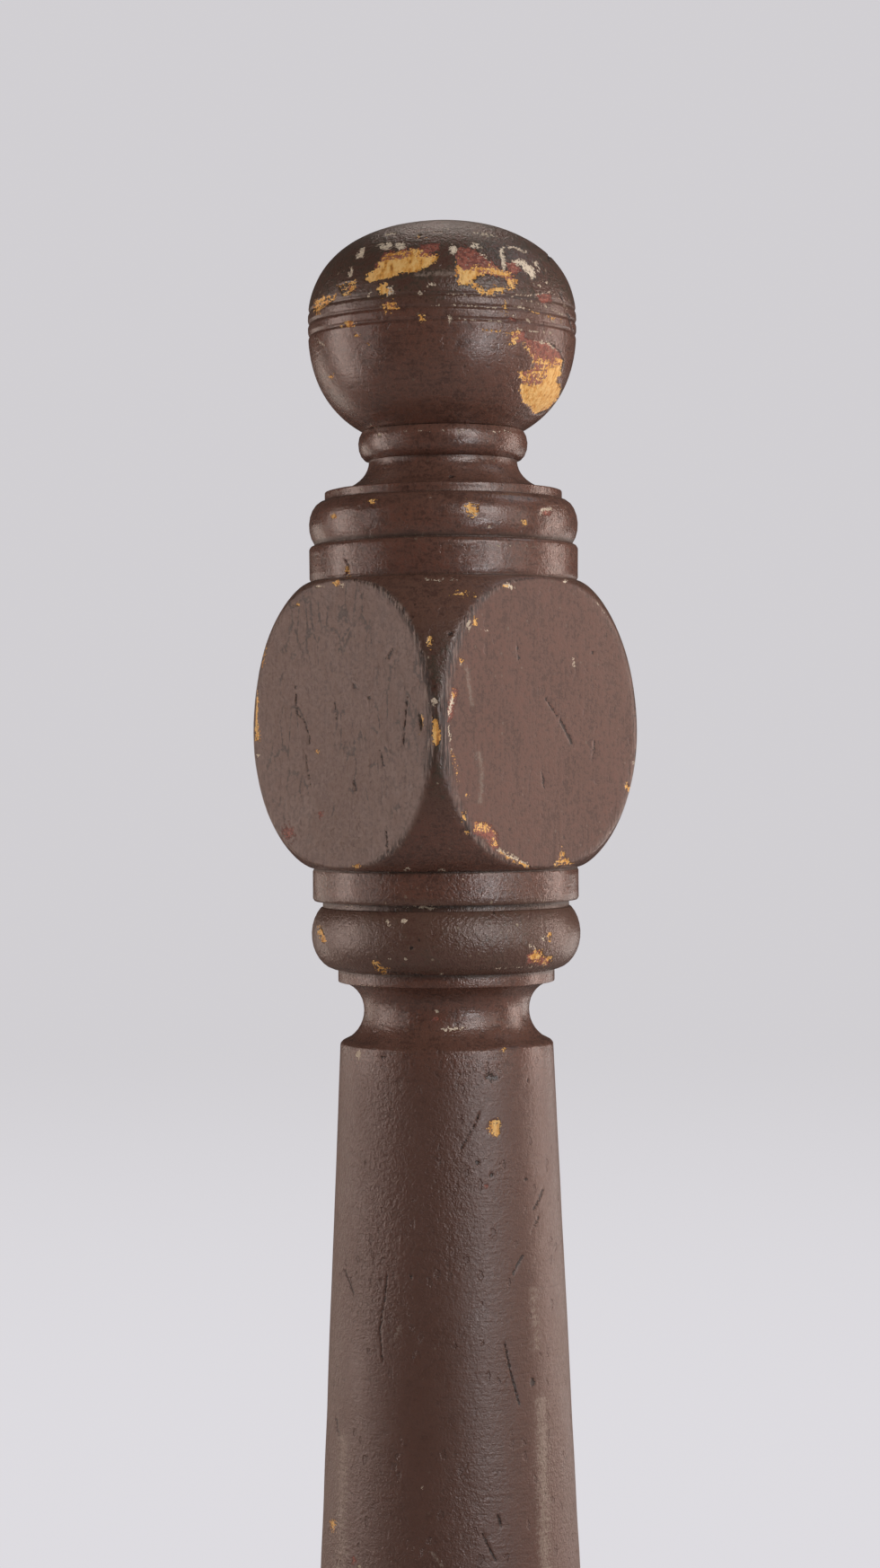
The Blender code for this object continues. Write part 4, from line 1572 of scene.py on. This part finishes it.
    def _arris_wear(self, places: np.ndarray, blank: np.ndarray) -> np.ndarray:
        """How far wear moves each point towards the axis, where two surfaces meet at an arris.

        Args:
            places: N x 3 points.
            blank: their radius before the timber's faces were flattened.

        Returns:
            N x 3 level moves in metres, outwards.
        """
        half = self.timber.side / 2
        around = np.maximum(np.hypot(places[:, 0], places[:, 1]), 1e-9)
        to_faces = [half / np.maximum(np.abs(places[:, axis]) / around, 1e-6) for axis in (0, 1)]
        limits = np.sort(np.stack([blank, *to_faces]), axis=0)
        wear = self.arris_wear_mm * MM * (1 + 0.35 * lattice_noise(places * 60, 7))
        touch = np.clip(1 - (limits[1] - limits[0]) / wear, 0, 1)
        radial = places * (1, 1, 0)
        radial /= np.maximum(np.linalg.norm(radial, axis=1, keepdims=True), 1e-9)
        return (wear / 4 * touch**2)[:, None] * radial

    def _on_flat(self, places: np.ndarray, within: float) -> np.ndarray:
        """Which points lie on one of the timber's faces, or this far inside it."""
        return np.abs(places[:, :2]).max(axis=1) > self.timber.side / 2 - within

    def _toward(self, places: np.ndarray) -> np.ndarray:
        """The cosine of each point's turn round the axis from the camera's side."""
        turn = math.radians(self.sight.azimuth)
        around = np.maximum(np.hypot(places[:, 0], places[:, 1]), 1e-9)
        return (places[:, 0] * math.sin(turn) - places[:, 1] * math.cos(turn)) / around

    def _hollow(self, places: np.ndarray) -> np.ndarray:
        """How far each point lies in a crease of the outline, from 0 to 1."""
        radius, height, crease = self._creases()
        around = np.hypot(places[:, 0], places[:, 1])
        index = np.searchsorted(height, places[:, 2])
        best = np.full(len(places), 1e9)
        value = np.zeros(len(places))
        for shift in range(-24, 25, 2):
            row = np.clip(index + shift, 0, len(height) - 1)
            gap = np.hypot(radius[row] - around, height[row] - places[:, 2])
            nearer = gap < best
            best = np.where(nearer, gap, best)
            value = np.where(nearer, crease[row], value)
        value = np.where(self._on_flat(places, self.flat_margin), 0, value)
        return np.clip(value * 0.9, 0, 1)

    def _creases(self) -> tuple[np.ndarray, np.ndarray, np.ndarray]:
        """Measures how hollow the outline is, against its own mean over a few millimetres.

        Returns:
            Radius, height and hollowness from 0 to 1 at even steps, in order of height.
        """
        outline = np.array(self.outline())
        run = np.r_[0, np.cumsum(np.linalg.norm(np.diff(outline, axis=0), axis=1))]
        even = np.arange(0, run[-1], 0.5 * MM)
        line = np.stack([np.interp(even, run, outline[:, axis]) for axis in (0, 1)])
        slope = np.gradient(line, axis=1)
        outward = np.stack((slope[1], -slope[0])) / np.maximum(np.hypot(*slope), 1e-12)
        kernel = np.hanning(2 * self.crease_reach + 1)
        kernel /= kernel.sum()
        padded = np.pad(line, ((0, 0), (self.crease_reach, self.crease_reach)), mode="edge")
        mean = np.stack([np.convolve(row, kernel, "valid") for row in padded])
        depth = np.sum((mean - line) * outward, axis=0)
        crease = np.clip(depth / self.crease_depth, 0, 1)
        order = np.argsort(line[1], kind="stable")
        return line[0][order], line[1][order], crease[order]

    def _soot_and_shade(self, places: np.ndarray, on_flat: np.ndarray) -> np.ndarray:
        """Sooty handling over the ball's rings; painted shade on the turned strip between the flats, with a
        greenish grimy tone near its top; and a darker, duller lower torus, partly painted shade.
        """
        below_top = self.timber.height - places[:, 2]
        cloud = lattice_noise(places * (45, 45, 45), 29)
        ball = smoothstep(60 * MM, 38 * MM, below_top + cloud * 9 * MM) * (0.8 + 0.2 * cloud)
        # Painted shade on the turned strip between the flats, around the rail block's middle.
        aside = np.abs(places[:, 2] - self.block_middle - 6 * MM)
        strip = 0.95 * smoothstep(60 * MM, 20 * MM, aside)
        # The lower torus is darkened, partly as painted shade.
        torus = self._low_torus(places) * (0.30 + 0.12 * cloud)
        return np.clip(np.where(on_flat, 0.0, np.maximum.reduce((ball, strip, torus))), 0, 1)

    def _low_torus(self, places: np.ndarray) -> np.ndarray:
        """1 on the lower collar's torus, which is duller than the rest."""
        (low, high), level = self.low_torus, places[:, 2]
        return smoothstep(low - 3 * MM, low + 5 * MM, level) * smoothstep(high + 3 * MM, high, level)

    def _bloom_and_sheen(self, places: np.ndarray, normals: np.ndarray) -> np.ndarray:
        """The grey bloom, thickest on the flat that faces -Y, on the crown and down the shaft's sides; on
        that flat it is partly painted sheen, down the shaft's sides it is painted sheen, and on upward faces
        it is partly painted top light.
        """
        flat = self._on_flat(places, self.flat_margin)
        level, crown = places[:, 2], self.timber.height
        # On the flat that faces -Y the grey bloom is partly a painted sheen.
        left = np.where(flat & (places[:, 1] < 5 * MM - self.timber.side / 2), self.flat_bloom_and_sheen, 0.0)
        top = smoothstep(crown - 50 * MM, crown - 10 * MM, level) * self.crown_bloom
        corner = smoothstep(self.block_middle + 18 * MM, self.block_middle + 70 * MM, level)
        corner = corner * (level < self.block_middle + 82 * MM) * self.corner_bloom
        torus = self._low_torus(places) * self.torus_bloom
        # Painted sheen down the shaft's sides, placed by their turn from the camera's side.
        sides = smoothstep(0.84, 0.56, self._toward(places)) * smoothstep(0.80, 0.66, level)
        sides = sides * smoothstep(0.38, 0.44, level)
        sides = sides * (0.26 + 0.20 * lattice_noise(places * (70, 70, 26), 31))
        round_bloom = np.where(flat, 0.0, np.maximum(corner, torus))
        bloom = np.maximum.reduce((left, top, round_bloom, sides))
        # Upward faces are paler: dusting and painted top light.
        ledge = self.ledge_dust_and_top_light * smoothstep(0.10, 0.55, normals[:, 2]) * (level < crown - 90 * MM)
        cloud = 0.10 + 0.10 * lattice_noise(places * (14, 14, 8), 23)
        return np.clip(bloom + ledge + cloud, 0, 1)


def points_of(mesh: bpy.types.Mesh) -> np.ndarray:
    """The mesh's points as an N x 3 array."""
    flat = np.zeros(len(mesh.vertices) * 3, np.float32)
    mesh.vertices.foreach_get("co", flat)
    return flat.reshape(-1, 3).astype(float)


def normals_of(mesh: bpy.types.Mesh) -> np.ndarray:
    """The mesh's vertex normals as an N x 3 array."""
    flat = np.zeros(len(mesh.vertices) * 3, np.float32)
    mesh.vertices.foreach_get("normal", flat)
    return flat.reshape(-1, 3).astype(float)


def set_attribute(mesh: bpy.types.Mesh, name: str, values: np.ndarray) -> None:
    """Keeps one number at each point."""
    kept = mesh.attributes.get(name) or mesh.attributes.new(name, "FLOAT", "POINT")
    kept.data.foreach_set("value", values.astype(np.float32))


def get_attribute(mesh: bpy.types.Mesh, name: str) -> np.ndarray:
    """The numbers kept at the points."""
    values = np.zeros(len(mesh.vertices), np.float32)
    mesh.attributes[name].data.foreach_get("value", values)
    return values.astype(float)


def select(piece: bpy.types.Object, kind: str, chosen: np.ndarray) -> None:
    """Selects these vertices, for kind VERT, or these faces, for kind FACE, for the next edit."""
    bpy.ops.object.mode_set(mode="EDIT")
    bpy.ops.mesh.select_mode(type=kind)
    bpy.ops.mesh.select_all(action="DESELECT")
    bpy.ops.object.mode_set(mode="OBJECT")
    elements = piece.data.vertices if kind == "VERT" else piece.data.polygons
    elements.foreach_set("select", chosen)


@dataclass
class Studio:
    """The pale floor and background, the soft lights and the camera."""

    sight: Sight
    backdrop: tuple = (0.64, 0.625, 0.65, 1)
    near_backdrop: tuple = (0.73, 0.715, 0.75, 1)
    floor_radius: float = 30.0
    floor_near: float = 0.4
    floor_far: float = 1.8
    floor_colour: tuple = (0.44, 0.43, 0.43, 1)
    surround: tuple = (1.0, 0.95, 0.88, 1)
    surround_glow: float = 0.04

    def floor(self) -> None:
        """A wide pale floor that passes into the background's own colour."""
        bpy.ops.object.select_all(action="DESELECT")
        bpy.ops.mesh.primitive_circle_add(
            vertices=96, radius=self.floor_radius, fill_type="NGON", location=(0, 0, 0)
        )
        floor = bpy.context.active_object
        floor.name = "studio_floor"
        bench = Bench(bpy.data.materials.new("pale_floor"))
        place = bench.node("ShaderNodeTexCoord", {}, {}, "Object")
        away = bench.node("ShaderNodeVectorMath", {"operation": "LENGTH"}, {0: place}, "Value")
        far = away.rise(self.floor_near, self.floor_far) * 0.3 + 0.7
        far = far * bench.node("ShaderNodeLightPath", {}, {}, "Is Camera Ray")
        diffuse = bench.node("ShaderNodeBsdfDiffuse", {}, {"Color": self.floor_colour})
        # Painted light: the floor's glow is brighter near the post, so the background is paler low in the
        # view.
        colour = bench.blend(away.rise(9.0, 1.8), self.backdrop, self.near_backdrop)
        glow = bench.node("ShaderNodeEmission", {}, {"Color": colour, "Strength": 1.0})
        mixed = bench.node("ShaderNodeMixShader", {}, {0: far, 1: diffuse, 2: glow})
        floor.data.materials.append(bench.finish(mixed))

    def world(self) -> None:
        """A pale surround, dimmer on the camera's side, as a dark room behind the camera is."""
        world = bpy.data.worlds.new("studio")
        bpy.context.scene.world = world
        bench = Bench(world)
        place = bench.node("ShaderNodeTexCoord", {}, {}, "Generated")
        turn = math.radians(self.sight.azimuth)
        camera_side = (math.sin(turn), -math.cos(turn), 0.0)
        dot = {0: place, 1: camera_side}
        toward = bench.node("ShaderNodeVectorMath", {"operation": "DOT_PRODUCT"}, dot, "Value")
        dim = (1 - toward.rise(-0.35, 0.75)) * self.surround_glow
        surround = bench.node("ShaderNodeBackground", {}, {0: self.surround, 1: dim})
        backdrop = bench.node("ShaderNodeBackground", {}, {0: self.backdrop})
        seen = bench.node("ShaderNodeLightPath", {}, {}, "Is Camera Ray")
        bench.finish(bench.node("ShaderNodeMixShader", {}, {0: seen, 1: surround, 2: backdrop}))

    def softbox(self, name: str, aside: float, height: float, distance: float, size: Point2, watts: float,
                colour: tuple = (1.0, 0.84, 0.76), sheen_only: bool = False) -> None:
        """A rectangular light that faces the post's upper part.

        Args:
            name: its name.
            aside: its angle to the right of the camera's, in degrees round the post.
            height: how high its middle is.
            distance: how far from the post.
            size: its width and height.
            watts: its power.
            colour: its colour.
            sheen_only: whether it shows in the paint's sheen without lighting its colour.
        """
        light = bpy.data.lights.new(name, "AREA")
        light.shape = "RECTANGLE"
        light.size, light.size_y = size
        light.energy = watts
        light.color = colour
        lamp = bpy.data.objects.new(name, light)
        turn = math.radians(self.sight.azimuth + aside)
        lamp.location = (math.sin(turn) * distance, -math.cos(turn) * distance, height)
        aim = Vector((0, 0, 0.85)) - lamp.location
        lamp.rotation_euler = aim.to_track_quat("-Z", "Y").to_euler()
        lamp.visible_camera = False
        lamp.visible_diffuse = not sheen_only
        bpy.context.scene.collection.objects.link(lamp)

    def lights(self) -> None:
        """Broad light from both sides, and a smaller box in front of each for the sheen."""
        self.softbox("left_window", -96, 0.92, 2.2, (1.0, 2.0), 24.5, (1.0, 0.80, 0.72))
        self.softbox("left_rear", -136, 0.5, 2.2, (0.8, 1.3), 5, (1.0, 0.84, 0.74))
        self.softbox("left_box", -66, 1.1, 2.2, (0.3, 1.8), 5, (1.0, 0.90, 0.86))
        self.softbox("right_window", 109, 0.82, 2.2, (0.7, 2.0), 23, (1.0, 0.80, 0.72))
        self.softbox("right_rear", 140, 0.3, 2.2, (0.8, 1.0), 5, (1.0, 0.88, 0.82))
        self.softbox("right_side", 68, 1.2, 2.2, (0.4, 1.9), 7)
        self.softbox("right_box", 45, 1.35, 2.1, (0.35, 1.5), 12, (1.0, 0.90, 0.87))
        self.softbox("high_box", 31, 1.9, 2.0, (1.0, 0.7), 15, (1.0, 0.90, 0.87))
        self.softbox("glint_box", 33, 0.66, 2.0, (0.40, 0.26), 6.5, (0.97, 0.97, 1.0), True)
        self.softbox("top_box", 100, 2.7, 1.2, (0.8, 0.8), 4, (0.85, 0.92, 1.0))
        self.softbox("rear_box", 180, 2.7, 1.2, (0.8, 0.8), 5)

    def camera(self, crown: float) -> None:
        """The camera at the photograph's viewpoint."""
        data = bpy.data.cameras.new("camera")
        data.sensor_fit = "AUTO"
        data.sensor_width = 36.0
        data.lens = data.sensor_width * self.sight.focal_px / self.sight.height_px
        data.clip_start, data.clip_end = 0.05, 100.0
        camera = bpy.data.objects.new("camera", data)
        bpy.context.scene.collection.objects.link(camera)
        camera.matrix_world = self.sight.matrix(crown)
        bpy.context.scene.camera = camera
        bpy.context.scene.view_settings.view_transform = "Standard"


def main() -> None:
    """Builds the post and the studio round it."""
    logging.basicConfig(level=logging.INFO, format="%(name)s: %(message)s")
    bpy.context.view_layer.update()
    sight = Sight()
    timber = Timber.measured()
    studio = Studio(sight)
    studio.camera(timber.height)
    post = NewelPost(timber, sight).build()
    post.data.materials.clear()
    post.data.materials.append(OldPaint().build())
    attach(post, "root")
    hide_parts("newel_post")
    LOG.info("%s: %d faces", post.name, len(post.data.polygons))
    studio.floor()
    studio.world()
    studio.lights()


if __name__ == "__main__":
    main()
